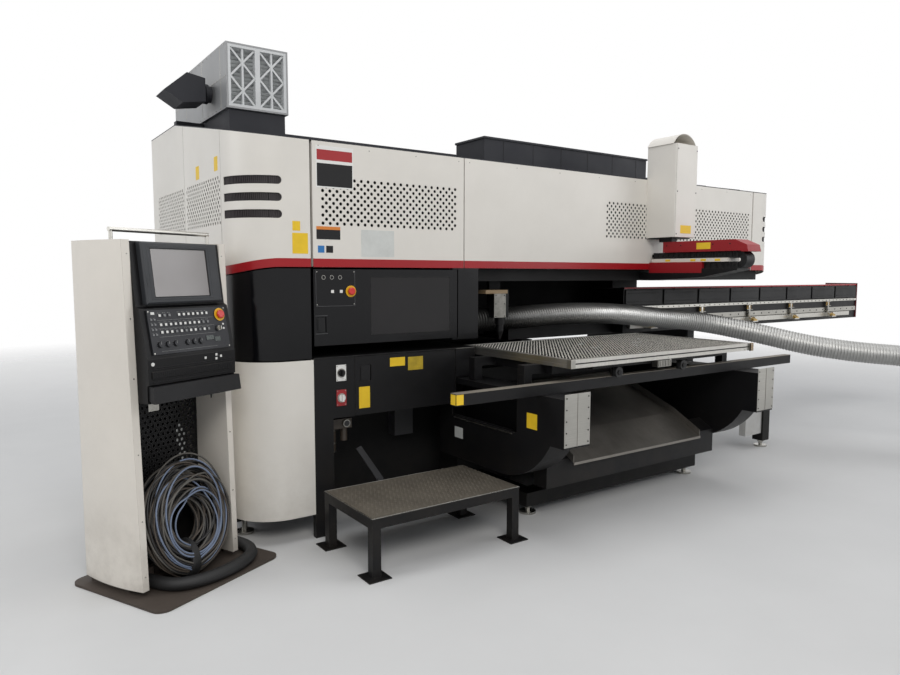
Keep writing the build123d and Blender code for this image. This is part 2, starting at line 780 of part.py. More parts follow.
cabinet = fuse([post, case, switch_panel, switch_back, switch_side, right_panel, right_side,
                hinge_side, lip, lower_arm, lower_stub, upper_stub, *plates])
boss = [rod((switch_x, 12, z), 14, 20, "Y") for z in switch_z]
cabinet = fuse([cabinet, *boss])
for z in switch_z:
    cabinet = cabinet - rod((switch_x, 0, z), spindle_radius + guide_clearance, 60, "Y")
keep("cabinet_frame", cabinet)


def switch_knob(z, grip_width):
    """Rotary switch knob: round base, raised grip and spindle."""
    face = -switch_plate
    base = rod((switch_x, face - 6.3, z), 20, 12, "Y")
    grip = block((switch_x - grip_width / 2, switch_x + grip_width / 2),
                 (face - 28, face - 12), (z - 20, z + 20))
    spindle = rod((switch_x, face + 8, z), spindle_radius, 32, "Y")
    return fuse([base, grip, spindle])


keep("disconnect_knob", switch_knob(switch_z[0], 9))
keep("lockout_knob", switch_knob(switch_z[1], 12))
cabinet_latch_x = (-1866.0, -1790.0)
cabinet_latch_z = (905.0, 1003.0)
door_x = (cabinet_door_left, cabinet_right)
door_z = (cabinet_bottom + 2, cabinet_top - 3)
cabinet_door = pan_front(door_x, door_z, 0.0, sheet, cabinet_skin)
hinge_bar = block((cabinet_hinge_x - 14, cabinet_right), (0, cabinet_skin), door_z)
cup = block((cabinet_latch_x[0] - 4, cabinet_latch_x[1] + 4), (0, 20),
            (cabinet_latch_z[0] - latch_wall, cabinet_latch_z[1] + latch_wall))
cabinet_door = fuse([cabinet_door, hinge_bar, cup])
cabinet_door = cabinet_door - block(cabinet_latch_x, (-1, 17), cabinet_latch_z)
cabinet_door = cabinet_door - latch_pin(cabinet_latch_x, cabinet_latch_z, 0.01)
for z in (cabinet_bottom + 8, cabinet_top - 8):
    cabinet_door = cabinet_door - rod((cabinet_hinge_x, cabinet_hinge_y, z), pin_bore, 20.02)
keep("cabinet_door", cabinet_door)
grip_plate = block((cabinet_latch_x[0] + paddle_gap, cabinet_latch_x[1] - paddle_relief), (1, 5),
                   (cabinet_latch_z[0] + paddle_gap, cabinet_latch_z[1] - paddle_gap))
grip_pin = latch_pin(cabinet_latch_x, cabinet_latch_z, -0.5)
grip_barrel = block((cabinet_latch_x[1] - 12, cabinet_latch_x[1] - 4), (4, 9),
                    (cabinet_latch_z[0] + paddle_gap, cabinet_latch_z[1] - paddle_gap))
grip_edge = block((cabinet_latch_x[0] + 6, cabinet_latch_x[0] + 20), (-3, 1),
                  (cabinet_latch_z[0] + 10, cabinet_latch_z[1] - 10))
keep("cabinet_latch", fuse([grip_plate, grip_edge, grip_pin, grip_barrel]))

# Air filter and regulator under the cabinet, and two junction boxes
air_x = -1995.0
air_y = 150.0
air_head = block((air_x - 45, air_x + 130), (air_y - 32, air_y + 32),
                 (cabinet_bottom - 95, cabinet_bottom - 35))
air_stem = rod((air_x, air_y, cabinet_bottom - 18), 14, 36)
bowl = Pos(air_x, air_y, cabinet_bottom - 95) * Cylinder(
    33, 140, align=(Align.CENTER, Align.CENTER, Align.MAX))
drain = Pos(air_x, air_y, cabinet_bottom - 235) * Cylinder(
    12, 40, align=(Align.CENTER, Align.CENTER, Align.MAX))
regulator = Pos(air_x + 90, air_y, cabinet_bottom - 95) * Cylinder(
    22, 80, align=(Align.CENTER, Align.CENTER, Align.MAX))
gauge = rod((air_x + 90, air_y - 38, cabinet_bottom - 65), 20, 14, "Y")
keep("air_filter_regulator", fuse([air_head, air_stem, bowl, drain, regulator, gauge]))
relay_box = block((-1426, -1283), (column_front - 90, column_front), (451, 629))
leg_face = leg_x - leg_size / 2
terminal_points = [(leg_face - 240, 130), (leg_face, 130), (leg_face, 350), (leg_face - 160, 350),
                   (leg_face - 240, 270)]
terminal_box = prism_y(terminal_points, (leg_y - 30, leg_y + 30))
keep("junction_boxes", relay_box, terminal_box)

# Step platform with raised tread
tube = step_tube
frame_top = step_top - tread_thickness
rails = [
    block((step_left, step_right), (y, y + tube), (frame_top - tube, frame_top))
    for y in (step_front, step_back - tube)]
rails += [
    block((x, x + tube), (step_front, step_back), (frame_top - tube, frame_top))
    for x in (step_left, step_right - tube)]
legs = []
for x in (step_left, step_right - tube):
    for y in (step_front, step_back - tube):
        legs.append(block((x, x + tube), (y, y + tube), (0, frame_top - tube)))
        middle_x = x + tube / 2
        middle_y = y + tube / 2
        legs.append(block((middle_x - step_foot / 2, middle_x + step_foot / 2),
                          (middle_y - step_foot / 2, middle_y + step_foot / 2), (0, 6)))
tread = block((step_left - 4, step_right + 4), (step_front - 4, step_back + 4),
              (frame_top, step_top))
keep("step_platform", fuse([*rails, *legs, tread]))

# Brush table: deck on cross bars, black sub-frame, posts and aluminium rim
rim_low = table_top - rim_height
deck_x = (table_left + rim_width, table_right - rim_width)
deck_y = (table_front + rim_width, table_back - rim_width)
deck_top = table_top - 2 - bristle_height
deck = block(deck_x, deck_y, (deck_top - 6, deck_top))
bars = [block((x, x + 30), deck_y, (rim_low, deck_top - 6))
        for x in (-940.0, -560.0, -165.0, 230.0, 610.0)]
ribs_x = int((deck_x[1] - deck_x[0]) / bristle_pitch)
bristles = []
for i in range(ribs_x):
    x = deck_x[0] + (i + 0.5) * bristle_pitch
    bristles.append(block((x, x + bristle_width), deck_y, (deck_top, deck_top + bristle_height)))
sub_low = rim_low - 55
sub_frame = [block((-960, 660), (y, y + 60), (sub_low, rim_low)) for y in (-700.0, -300.0, 60.0)]
sub_frame += [block((x, x + 60), (-700, 120), (sub_low, rim_low)) for x in (-960.0, 600.0)]
stays = []
for x in (wing_left + 20, wing_right_inner + wing_width - 80):
    for y in (-640.0, -160.0):
        stays.append(block((x, x + 60), (y, y + 60), (wing_top, sub_low)))
links = [block((wing_left + 20, -930), (y, y + 60), (sub_low, rim_low)) for y in (-640.0, -160.0)]
links += [block((640, wing_right_inner + wing_width - 20), (y, y + 60), (sub_low, rim_low))
          for y in (-640.0, -160.0)]
deck_body = fuse([deck, *bars, *bristles])


def rim_ring(z_low, z_high, inset):
    """Four mitred lengths of the aluminium table rim."""
    outer = block((table_left + inset, table_right - inset),
                  (table_front + inset, table_back - inset), (z_low, z_high))
    return outer - block(deck_x, deck_y, (z_low - 1, z_high + 1))


groove = 8.0
mid_low = rim_low + rim_height / 2 - groove / 2
rim = fuse([rim_ring(rim_low, mid_low, 0), rim_ring(mid_low, mid_low + groove, 6),
            rim_ring(mid_low + groove, table_top, 0)])
corner_post = block((table_right - rim_width, table_right), (table_front - 14, table_front),
                    (rim_low - 4, table_top))
keep("table_rim", fuse([rim, corner_post]))

# Guide rollers under the front rim
roller_xs = (-560.0, 60.0)
roller_y = table_front + 46
for name, x in zip(("table_roller_left", "table_roller_right"), roller_xs):
    wheel = rod((x, roller_y, roller_centre_z), roller_radius, roller_width, "Y")
    keep(name, wheel - rod((x, roller_y, roller_centre_z), axle_radius + guide_clearance,
                           roller_width + 2, "Y"))
axles = []
for x in roller_xs:
    cheek_y = roller_y + roller_width / 2 + 3
    axles.append(rod((x, (roller_y + cheek_y) / 2 - 4, roller_centre_z), axle_radius,
                     cheek_y - roller_y + 30, "Y"))
    axles.append(rod((x, roller_y - roller_width / 2 - 3.3, roller_centre_z), 15, 6, "Y"))
    axles.append(block((x - 26, x + 26), (cheek_y, cheek_y + 10),
                       (roller_centre_z - 26, rim_low)))
ribbed_block = block((-230, -120), (table_front + 6, table_front + 60), (rim_low - 42, rim_low))
for i in range(5):
    x = -222.0 + 20 * i
    ribbed_block = ribbed_block - block((x, x + 9), (table_front, table_front + 16),
                                        (rim_low - 36, rim_low - 6))
roller_beam = block((-760, 560), (roller_y + roller_width / 2 + 3, -700), (rim_low - 26, rim_low))
keep("brush_table", deck_body, fuse([*sub_frame, *links]), *stays,
     fuse([roller_beam, *axles]), ribbed_block)

# Bumper bar in front of the wings
keep("bumper_bar", block((bumper_left, bumper_right), (bumper_front, bumper_back),
                         (bumper_bottom, bumper_top)))

# Wings on both sides of the chute
wing_profile = Polyline((wing_front, wing_nose_low), (wing_front, wing_top),
                        (wing_back, wing_top), (wing_back, wing_low), (-420, wing_low))
wing_swoop = ThreePointArc((-420, wing_low), (-700, 400), (wing_front + 110, wing_nose_low))
wing_nose = Line((wing_front + 110, wing_nose_low), (wing_front, wing_nose_low))
wing_face = make_face(wing_profile + wing_swoop + wing_nose)
cheek = 8.0


def wing(x, window):
    """Welded side wing of two plates and a rim, with an optional window outside."""
    solid = Pos(x, 0, 0) * extrude(Plane.YZ * wing_face, wing_width)
    core = Pos(x + cheek, 0, 0) * extrude(Plane.YZ * offset(wing_face, -cheek),
                                          wing_width - 2 * cheek)
    body = solid - core
    if window:
        body = body - block((x - 1, x + cheek + 1), (-600, 60), (612, 830))
        ledge = block((x, x + 40), (-525, 90), (600, 612))
        fitting = rod((x + cheek + 20, -640, 700), 26, 40, "X")
        body = fuse([body, ledge, fitting])
    return body


chute_slope = (chute_fold_z - chute_lip_z) / (chute_fold_y - chute_lip_y)


def chute_underside(y):
    """Height of the underside of the chute's front sheet."""
    return chute_lip_z + chute_slope * (y - chute_lip_y) - chute_sheet


chute_beam_y = (-660.0, -540.0)
chute_beam_low = 250.0
chute_beam_points = [(chute_beam_y[0], chute_beam_low), (chute_beam_y[1], chute_beam_low),
                     (chute_beam_y[1], chute_underside(chute_beam_y[1])),
                     (chute_beam_y[0], chute_underside(chute_beam_y[0]))]
chute_beam = prism_x(chute_beam_points, (wing_left + wing_width, wing_right_inner))
keep("chute_wings", wing(wing_left, True), wing(wing_right_inner, False), chute_beam)

# Stainless plates on the noses of the wings
plate_low = wing_nose_low + 10
plates = [block((x - 2, x + wing_width + 2), (wing_front - wing_plate_thickness, wing_front),
                (plate_low, wing_top + 29)) for x in (wing_left, wing_right_inner)]
keep("wing_plates", *plates)

# Folded scrap chute between the wings
chute_points = [(chute_lip_y, chute_lip_z), (chute_fold_y, chute_fold_z),
                (chute_end_y, chute_end_z)]
under = [(y, z - chute_sheet) for y, z in reversed(chute_points)]
chute = prism_x(chute_points + under, (chute_left, chute_right))
hem = block((chute_left, chute_right), (chute_lip_y - 6, chute_lip_y + 2),
            (chute_lip_z - 16, chute_lip_z + 1))
flange_points = [(y, z + 45) for y, z in chute_points]
flanges = [prism_x(flange_points + under, (x, x + chute_sheet))
           for x in (chute_left, chute_right - chute_sheet)]
chute_rear = block((chute_left, chute_right), (chute_end_y, base_front), (chute_end_z - 40,
                                                                          chute_end_z))
keep("scrap_chute", fuse([chute, hem, *flanges, chute_rear]))

# Cutting head: slide body, upper block and cone nozzle
head_back = head_y + 60
head_body = block((head_x - head_width / 2, head_x + head_width / 2), (head_y - 30, head_back),
                  (throat_top - 260, throat_top - 64))
upper_block = block((head_x - 144, head_x - head_width / 2), (head_y - 30, head_y + 40),
                    (throat_top - 88, throat_top - 64))
collar = rod((head_x, head_y, throat_top - 285), 34, 50)
sleeve = rod((head_x, head_y, throat_top - 335), 26, 50)
cone_height = table_top + 13 - (throat_top - 360)
cone = Pos(head_x, head_y, (throat_top - 360 + table_top + 13) / 2) * Cone(6, 26, -cone_height)
keep("cutting_head", fuse([head_body, upper_block, collar, sleeve, cone]))

# Cross beam on the two guides
running_gap = 0.3
beam = block((beam_left, beam_right), (beam_front, beam_front + beam_depth),
             (beam_bottom + running_gap, beam_top))
pocket = block((beam_left + 80, beam_right - 80), (beam_front + 20, beam_front + beam_depth - 20),
               (beam_top - 30, beam_top + 1))
keep("carriage_beam", beam - pocket)

# Sheet carriage that slides along the cross beam
carriage_low = beam_top + running_gap
apron_back = beam_front - running_gap
top_box = hollow((carriage_left, carriage_right), (carriage_front, carriage_front + carriage_depth),
                 (carriage_low, carriage_top), 10)
apron = block((carriage_left, carriage_right), (carriage_front, apron_back - 10),
              (guide_top + 8, carriage_low))
top_strip = block((carriage_left, carriage_right), (carriage_front - 6, carriage_front + 40),
                  (carriage_top, carriage_top + 12))
rail_strip = block((carriage_left, carriage_right), (carriage_front - 14, carriage_front),
                   (1238, 1262))
lower_strip = block((carriage_left, carriage_right), (carriage_front - 8, carriage_front),
                    (1118, 1166))
end_plate = block((carriage_right, carriage_right + 14), (carriage_front - 12,
                                                          carriage_front + carriage_depth + 8),
                  (guide_top + 8, carriage_top + 24))
cover_ribs = [block((x, x + 24), (carriage_front - 10, carriage_front),
                    (1266, carriage_top)) for x in range(1150, int(carriage_right), 550)]
keep("sheet_carriage", fuse([top_box, apron, top_strip, rail_strip, lower_strip, end_plate,
                             *cover_ribs]))

# Clamps under the front edge of the carriage
clamp_xs = [clamp_first + i * clamp_pitch for i in range(5)]
clamp_bodies = []
jaws = []
pivot_rod_radius = 5.0
for x in clamp_xs:
    half = clamp_width / 2
    body_points = [(clamp_axis_y - 45, 1062), (clamp_axis_y + 60, 1062),
                   (clamp_axis_y + 60, 1112), (clamp_axis_y - 15, 1112), (clamp_axis_y - 15, 1074),
                   (clamp_axis_y - 45, 1074)]
    body = prism_x(body_points, (x - half, x + half))
    jaw_room = block((x - half + 14, x + half - 14), (clamp_axis_y - 50, clamp_axis_y + 18),
                     (1074, 1120))
    body = body - jaw_room
    body = body - rod((x, clamp_axis_y, clamp_axis_z), pivot_rod_radius + guide_clearance,
                      clamp_width + 10, "X")
    clamp_bodies.append(body)
    jaw_points = [(clamp_axis_y - 45, 1074.3), (clamp_axis_y - 20, 1074.3),
                  (clamp_axis_y - 8, 1084), (clamp_axis_y + 10, 1084), (clamp_axis_y + 10, 1106),
                  (clamp_axis_y - 10, 1106), (clamp_axis_y - 45, 1084)]
    jaw = prism_x(jaw_points, (x - half + 14.3, x + half - 14.3))
    pin = rod((x, clamp_axis_y, clamp_axis_z), pivot_rod_radius, clamp_width, "X")
    jaws.append(fuse([jaw, pin]))
clamp_bar = block((carriage_left + 60, carriage_right - 200), (carriage_front - 30,
                                                               carriage_front), (1066, 1112))
keep("clamp_rail", fuse([clamp_bar, *clamp_bodies]))
keep("clamp_jaws", *jaws)

# Cable tower on the front cover, with an arched hood on top
tower_wall = 4.0
tower_box = block((tower_left, tower_right), (tower_front, 0), (tower_bottom, tower_top))
tower_box = fillet(tower_box.edges().filter_by(Axis.Z).group_by(Axis.Y)[0], 14)
tower_box = tower_box - block((tower_left + tower_wall, tower_right - tower_wall),
                              (tower_front + tower_wall, 1 - tower_wall),
                              (tower_bottom - 1, tower_top - tower_wall))
hood_rise = 84.0
tower_middle = (tower_left + tower_right) / 2
hood_back = -40.0


def hood_face(inset):
    """Arched outline of the tower's hood, in the X-Z plane."""
    left = tower_left + inset - 8
    right = tower_right - inset + 8
    arch = ThreePointArc((left, tower_top), (tower_middle, tower_top + hood_rise - inset),
                         (right, tower_top))
    return Plane.XZ * make_face(arch + Line((right, tower_top), (left, tower_top)))


hood_shell = extrude(hood_face(0), tower_front * -0.9) - Pos(0, hood_back, 0) * extrude(
    hood_face(tower_wall), tower_front * -0.9)
bracket = block((tower_left + 45, tower_left + 105), (tower_front + 60, tower_front + 180),
                (1800, tower_bottom))
bracket_plate = block((tower_left + 20, tower_right - 20), (tower_front + 40, -10),
                      (tower_bottom - 8, tower_bottom))
keep("tower_column", fuse([tower_box, hood_shell]))

# Cable tray: red cover, chain with its loop, white liner, red block and tapered arm
chain_low = 1670.0
chain_high = chain_low + chain_height
bend_centre_z = chain_high - chain_bend_radius
bend_centre_y = tray_front + chain_bend_radius
lower_low = bend_centre_z - chain_bend_radius
lower_high = lower_low + chain_height
cover_high = 1800.0
arm_low = 1500.0
cover_points = [(tray_cover_back, chain_high), (tray_cover_back, cover_high), (tray_front + 80, cover_high),
                (tray_front - 14, cover_high - 40), (tray_front - 26, chain_high - 6),
                (tray_front + 30, chain_high - 6), (tray_front + 30, chain_high)]
cover = prism_x(cover_points, (tray_left, tray_right))
block_y = (-490.0, -4.0)
red_block = block((tray_left, tray_right), block_y, (arm_low + 60, lower_high))
keep("tray_cover", cover, red_block)
chain_x = (tray_left + 30, tray_left + 30 + chain_width)
slim_x = (chain_x[0] + 5, chain_x[1] - 5)
runs = []
for z_low, y_back in ((chain_low, tray_back), (lower_low, block_y[0])):
    count = int((y_back - bend_centre_y) / link_pitch)
    pitch = (y_back - bend_centre_y) / count
    for i in range(count):
        y = bend_centre_y + i * pitch
        runs.append(block(chain_x, (y + 6, y + pitch), (z_low, z_low + chain_height)))
        runs.append(block(slim_x, (y, y + 6), (z_low, z_low + chain_height)))
loop = rod((sum(chain_x) / 2, bend_centre_y, bend_centre_z), chain_bend_radius, chain_width, "X")
eye = rod((sum(chain_x) / 2, bend_centre_y, bend_centre_z), chain_bend_radius - chain_height,
          chain_width + 2, "X")
loop = loop & block(chain_x, (tray_front - 1, bend_centre_y + 0.5), (lower_low, chain_high))
keep("energy_chain", fuse([loop - eye, *runs]) - eye)
liner_front = -700.0
keep("tray_liner", block((tray_left + 8, tray_right - 8), (liner_front, tray_back),
                         (lower_high, chain_low)))
arm_points = [(90, arm_low), (90, arm_low + 60), (block_y[0], arm_low + 60),
              (block_y[0], lower_low), (bend_centre_y - 10, lower_low),
              (bend_centre_y - 10, lower_low - 12), (-500, arm_low + 30), (tray_back, arm_low)]
keep("tray_arm", prism_x(arm_points, (tray_left, tray_right)), fuse([bracket, bracket_plate]))

# Flexible extraction duct
duct_points = [(-980, 346, 1214), (-500, 346, 1214), (60, 342, 1238), (640, 326, 1226),
               (1190, 284, 1172), (1640, 160, 1128), (1930, -200, 1040), (2150, -570, 944),
               (2390, -880, 894), (2640, -1180, 872), (2860, -1440, 800), (3000, -1640, 600),
               (3060, -1790, 330), (3060, -1790, 60)]
duct_path = route(duct_points)
duct_start = Plane(origin=duct_path @ 0, z_dir=duct_path % 0)
duct_ring = duct_start * (Circle(duct_radius) - Circle(duct_radius - duct_wall))
duct = sweep(duct_ring, path=duct_path)
end_x, end_y, end_z = duct_points[-1]
first_x, first_y, first_z = duct_points[0]
floor_collar = Pos(end_x, end_y, 0) * (
    Cylinder(duct_radius + 12, end_z + 30, align=(Align.CENTER, Align.CENTER, Align.MIN))
    - Cylinder(duct_radius - 1, 400))
wall_collar = Pos(first_x, first_y, first_z) * Rot(0, 90, 0) * (
    Cylinder(duct_radius + 14, 24, align=(Align.CENTER, Align.CENTER, Align.MIN))
    - Cylinder(duct_radius - 1, 60))
keep("flexible_duct", fuse([duct, floor_collar, wall_collar]))

# Operator console: base plate, two bowed side panels and the body between them
base_plate = block((-60, console_width + 125), (-195, console_depth + 50), (0, 12))
base_plate = fillet(base_plate.edges().filter_by(Axis.Z), 60)
plinth_box = block((6, console_width - 6), (110, console_depth - 30), (12, 40))
gland_rear = block((620, 724), (440, console_depth + 50), (12, 96))
gland_front = block((55, 145), (110, 150), (12, 96))
keep("console_base", console_place(fuse([base_plate, plinth_box, gland_rear, gland_front])))
panel_low = 40.0
top_lean = 50.0


def side_cheek():
    """Left side panel, bowed outwards, with a leaning front edge."""
    plan = make_face(
        ThreePointArc((0, 0), (-console_bow, console_depth / 2), (0, console_depth))
        + Polyline((0, console_depth), (console_side, console_depth), (console_side, 0), (0, 0)))
    slab = Pos(0, 0, panel_low) * extrude(plan, console_height - panel_low)
    round_low = ThreePointArc((console_depth, panel_low + 90), (console_depth - 26, panel_low + 26),
                              (console_depth - 90, panel_low))
    edges = Polyline((console_depth - 90, panel_low), (0, panel_low), (top_lean, console_height),
                     (console_depth, console_height), (console_depth, panel_low + 90))
    outline = extrude(Plane.YZ * make_face(edges + round_low), console_side + console_bow + 2)
    return slab & (Pos(-console_bow - 1, 0, 0) * outline)


left_cheek = side_cheek()
right_cheek = Pos(console_width, 0, 0) * mirror(left_cheek, about=Plane.YZ)
keep("console_side_panels", console_place(left_cheek), console_place(right_cheek))

body_x = (console_side, console_width - console_side)
body_back = 400.0
body_low = 1030.0
body_top = console_height - 5
body_skin = 4.0
screen_face = ((60.0, body_top), (20.0, 1395.0))
key_face = ((0.0, 1385.0), (-45.0, 1160.0))
lip_front = -50.0
body_points = [*screen_face, *key_face, (lip_front, 1150), (lip_front, body_low), (body_back, body_low),
               (body_back, body_top)]
body = prism_x(body_points, body_x)
body_inside = extrude(Plane.YZ * offset(make_face(Polyline(*body_points, close=True)), -body_skin),
                      body_x[1] - body_x[0] - 2 * body_skin)
body = body - Pos(body_x[0] + body_skin, 0, 0) * body_inside
drawer_high = body_low - 5
drawer_low = 955.0
drawer_gap = 0.3
back_plate = block(body_x, (body_back - 12, body_back), (panel_low, body_low))
runners = []
for x, side in ((body_x[0], 1), (body_x[1], -1)):
    web_x = sorted((x, x + side * 6))
    foot_x = sorted((x, x + side * 30))
    runners.append(block(web_x, (-40, body_back - 12), (drawer_low - 12, body_low)))
    runners.append(block(foot_x, (-40, body_back - 12), (drawer_low - 12,
                                                         drawer_low - drawer_gap)))
vent_bar = block((body_x[0] + 20, body_x[1] - 20), (lip_front - 6, lip_front), (body_low + 30, body_low + 62))
body = fuse([body, back_plate, vent_bar, *runners])


def face_plane(face, x, z):
    """Plane on a sloping face of the console, with its normal towards the operator."""
    (y_high, z_high), (y_low, z_low) = face
    slope = (y_high - y_low) / (z_high - z_low)
    length = math.hypot(1, slope)
    return Plane(origin=(x, y_low + slope * (z - z_low), z), x_dir=(1, 0, 0),
                 z_dir=(0, -1 / length, slope / length))


monitor_plane = face_plane(screen_face, 300, 1548)
monitor_size = (453.0, 296.0, 36.0)
screen_size = (334.0, 236.0, 5.0)
bezel = Pos(0, 0, monitor_size[2] / 2) * Box(*monitor_size)
bezel = chamfer(bezel.edges().group_by(Axis.Z)[-1], 8)
window = Pos(-15, 0, monitor_size[2]) * Box(screen_size[0], screen_size[1], 2 * screen_size[2])
keep("console_monitor", console_place(monitor_plane * (bezel - window)))

key_plane = face_plane(key_face, 300, 1272)
panel_size = (470.0, 212.0, 10.0)
key_top = panel_size[2]
key_plate = Pos(0, 0, key_top / 2) * Box(*panel_size)
keys = []
key_side = 13.0
key_rise = 3.0
for row, y in enumerate((78.0, 34.0, -2.0)):
    for column in range(11):
        if row == 0 and column == 3:
            continue
        x = -170 + column * 28.0
        keys.append(Pos(x, y, key_top + key_rise / 2) * Box(key_side, key_side, key_rise))
for y in (60.0, 36.0, 12.0, -12.0):
    for x in (-218.0, -200.0):
        keys.append(Pos(x, y, key_top + 1) * Box(11, 9, 2))
for x in (-190.0, -145.0, -100.0, -30.0, 10.0, 50.0):
    keys.append(Pos(x, -60, key_top + 5) * Cylinder(13, 10))
display = Pos(110, -48, key_top + 1) * Box(52, 26, 2)
stop_spot = (192.0, 66.0)
key_spot = (170.0, -4.0)
stop_guard = Pos(*stop_spot, key_top + 2) * Cylinder(33, 4)
key_bezel = Pos(*key_spot, key_top + 2) * Cylinder(16, 4)
key_panel = fuse([key_plate, *keys, display, stop_guard, key_bezel])
stop_stem = 9.0
key_stem = 6.0
bores = [Pos(*stop_spot, 0) * Cylinder(stop_stem + guide_clearance, 60),
         Pos(*key_spot, 0) * Cylinder(key_stem + guide_clearance, 60)]
key_panel = key_panel - bores[0] - bores[1]
body = body - (key_plane * bores[0]) - (key_plane * bores[1])
keep("console_key_panel", console_place(key_plane * key_panel))
keep("console_body", console_place(body))
stop_low = key_top + 4 + button_travel + 1
stop_cap = Pos(*stop_spot, stop_low + 6) * Cylinder(estop_radius, 12)
stop_cap = chamfer(stop_cap.edges().group_by(Axis.Z)[-1], 4)
stop_pin = Pos(*stop_spot, stop_low / 2 - 8) * Cylinder(stop_stem, stop_low + 16)
keep("console_estop", console_place(key_plane * fuse([stop_cap, stop_pin])))
switch_low = key_top + 4.3
switch_body = Pos(*key_spot, switch_low + 4) * Cylinder(12, 8)
switch_blade = Pos(*key_spot, switch_low + 16) * Box(4, 20, 16)
switch_pin = Pos(*key_spot, switch_low / 2 - 6) * Cylinder(key_stem, switch_low + 12)
keep("console_key_switch", console_place(key_plane * fuse([switch_body, switch_blade,
                                                           switch_pin])))

# Drawer under the body
drawer_x = (body_x[0] + 6 + drawer_gap, body_x[1] - 6 - drawer_gap)
drawer_front_y = -60.0
drawer = block(drawer_x, (drawer_front_y, 300), (drawer_low, drawer_high))
drawer = drawer - block((drawer_x[0] + 12, drawer_x[1] - 12), (drawer_front_y + 16, 288),
                        (drawer_low + 12, drawer_high + 1))
front_points = [(drawer_front_y, drawer_low - 8), (drawer_front_y, drawer_high),
                (drawer_front_y - 20, drawer_high), (drawer_front_y - 32, drawer_low - 8)]
drawer_front = prism_x(front_points, (body_x[0] + 2, body_x[1] - 2))
keep("console_drawer", console_place(drawer.fuse(drawer_front)))

# Grab handle on top
handle_y = 156.0
handle_z = console_height + 50
post_xs = (console_side / 2, console_width - console_side / 2)
bar = rod((console_width / 2, handle_y, handle_z), 11, post_xs[1] - post_xs[0] + 20, "X")
posts = [Pos(x, handle_y, console_height) * Cylinder(
    9, handle_z - console_height, align=(Align.CENTER, Align.CENTER, Align.MIN))
         for x in post_xs]
keep("console_handle", console_place(fuse([bar, *posts])))

# Coiled cables in front of the back plate, and the conduit on the base
coil_major = 176.0
coil_minor = 86.0
coil_stretch = 1.14
coil_lean = 12.0
coil = Rot(90 - coil_lean, 0, 0) * scale(Torus(coil_major, coil_minor), (1, coil_stretch, 1))
coil_low = coil.bounding_box().min.Z
keep("cable_coil", console_place(Pos(300, 70, 12.2 - coil_low) * coil))
conduit_radius = 33.0
conduit_z = 12.2 + conduit_radius
conduit_points = [(672, 440, conduit_z), (676, 120, conduit_z), (640, -100, conduit_z),
                  (450, -154, conduit_z), (240, -142, conduit_z), (125, -50, conduit_z),
                  (100, 110, conduit_z)]
conduit_path = route(conduit_points)
conduit_start = Plane(origin=conduit_points[0], z_dir=conduit_path % 0)
conduit_body = sweep(conduit_start * Circle(conduit_radius), path=conduit_path)
keep("conduit", console_place(conduit_body))

os.makedirs("parts", exist_ok=True)
for name, shape in parts.items():
    export_step(shape, f"parts/{name}.step")
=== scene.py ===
import random
from math import cos, dist, hypot, pi, radians, sin, sqrt, tan, tau

import bmesh
import bpy
from mathutils import Matrix, Vector


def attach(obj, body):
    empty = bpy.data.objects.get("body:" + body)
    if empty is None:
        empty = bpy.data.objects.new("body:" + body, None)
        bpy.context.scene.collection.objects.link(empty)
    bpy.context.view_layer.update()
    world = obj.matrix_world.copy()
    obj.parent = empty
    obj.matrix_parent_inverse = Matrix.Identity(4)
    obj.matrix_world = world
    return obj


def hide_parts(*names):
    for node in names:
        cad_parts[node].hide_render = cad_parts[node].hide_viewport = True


# Visual model of the laser cutting machine. Helper functions take millimetres in the
# frame's own axes; meshes are stored in metres.

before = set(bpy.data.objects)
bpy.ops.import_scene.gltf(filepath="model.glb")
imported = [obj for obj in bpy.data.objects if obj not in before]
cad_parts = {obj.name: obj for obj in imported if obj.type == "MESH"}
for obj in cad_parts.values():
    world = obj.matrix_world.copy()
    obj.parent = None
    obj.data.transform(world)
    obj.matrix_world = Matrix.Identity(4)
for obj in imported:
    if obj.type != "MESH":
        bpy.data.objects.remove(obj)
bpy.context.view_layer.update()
MM = 0.001
TUFT_SEED = 7
random.seed(TUFT_SEED)


# Materials

def rgb(red, green, blue):
    """Screen colour from 0 to 255 as linear light, with full alpha."""
    def linear(value):
        value /= 255
        return value / 12.92 if value <= 0.04045 else ((value + 0.055) / 1.055) ** 2.4
    return (linear(red), linear(green), linear(blue), 1)


def shade(colour, factor):
    """A lighter or darker copy of a colour."""
    return tuple(min(1, channel * factor) for channel in colour[:3]) + (1,)


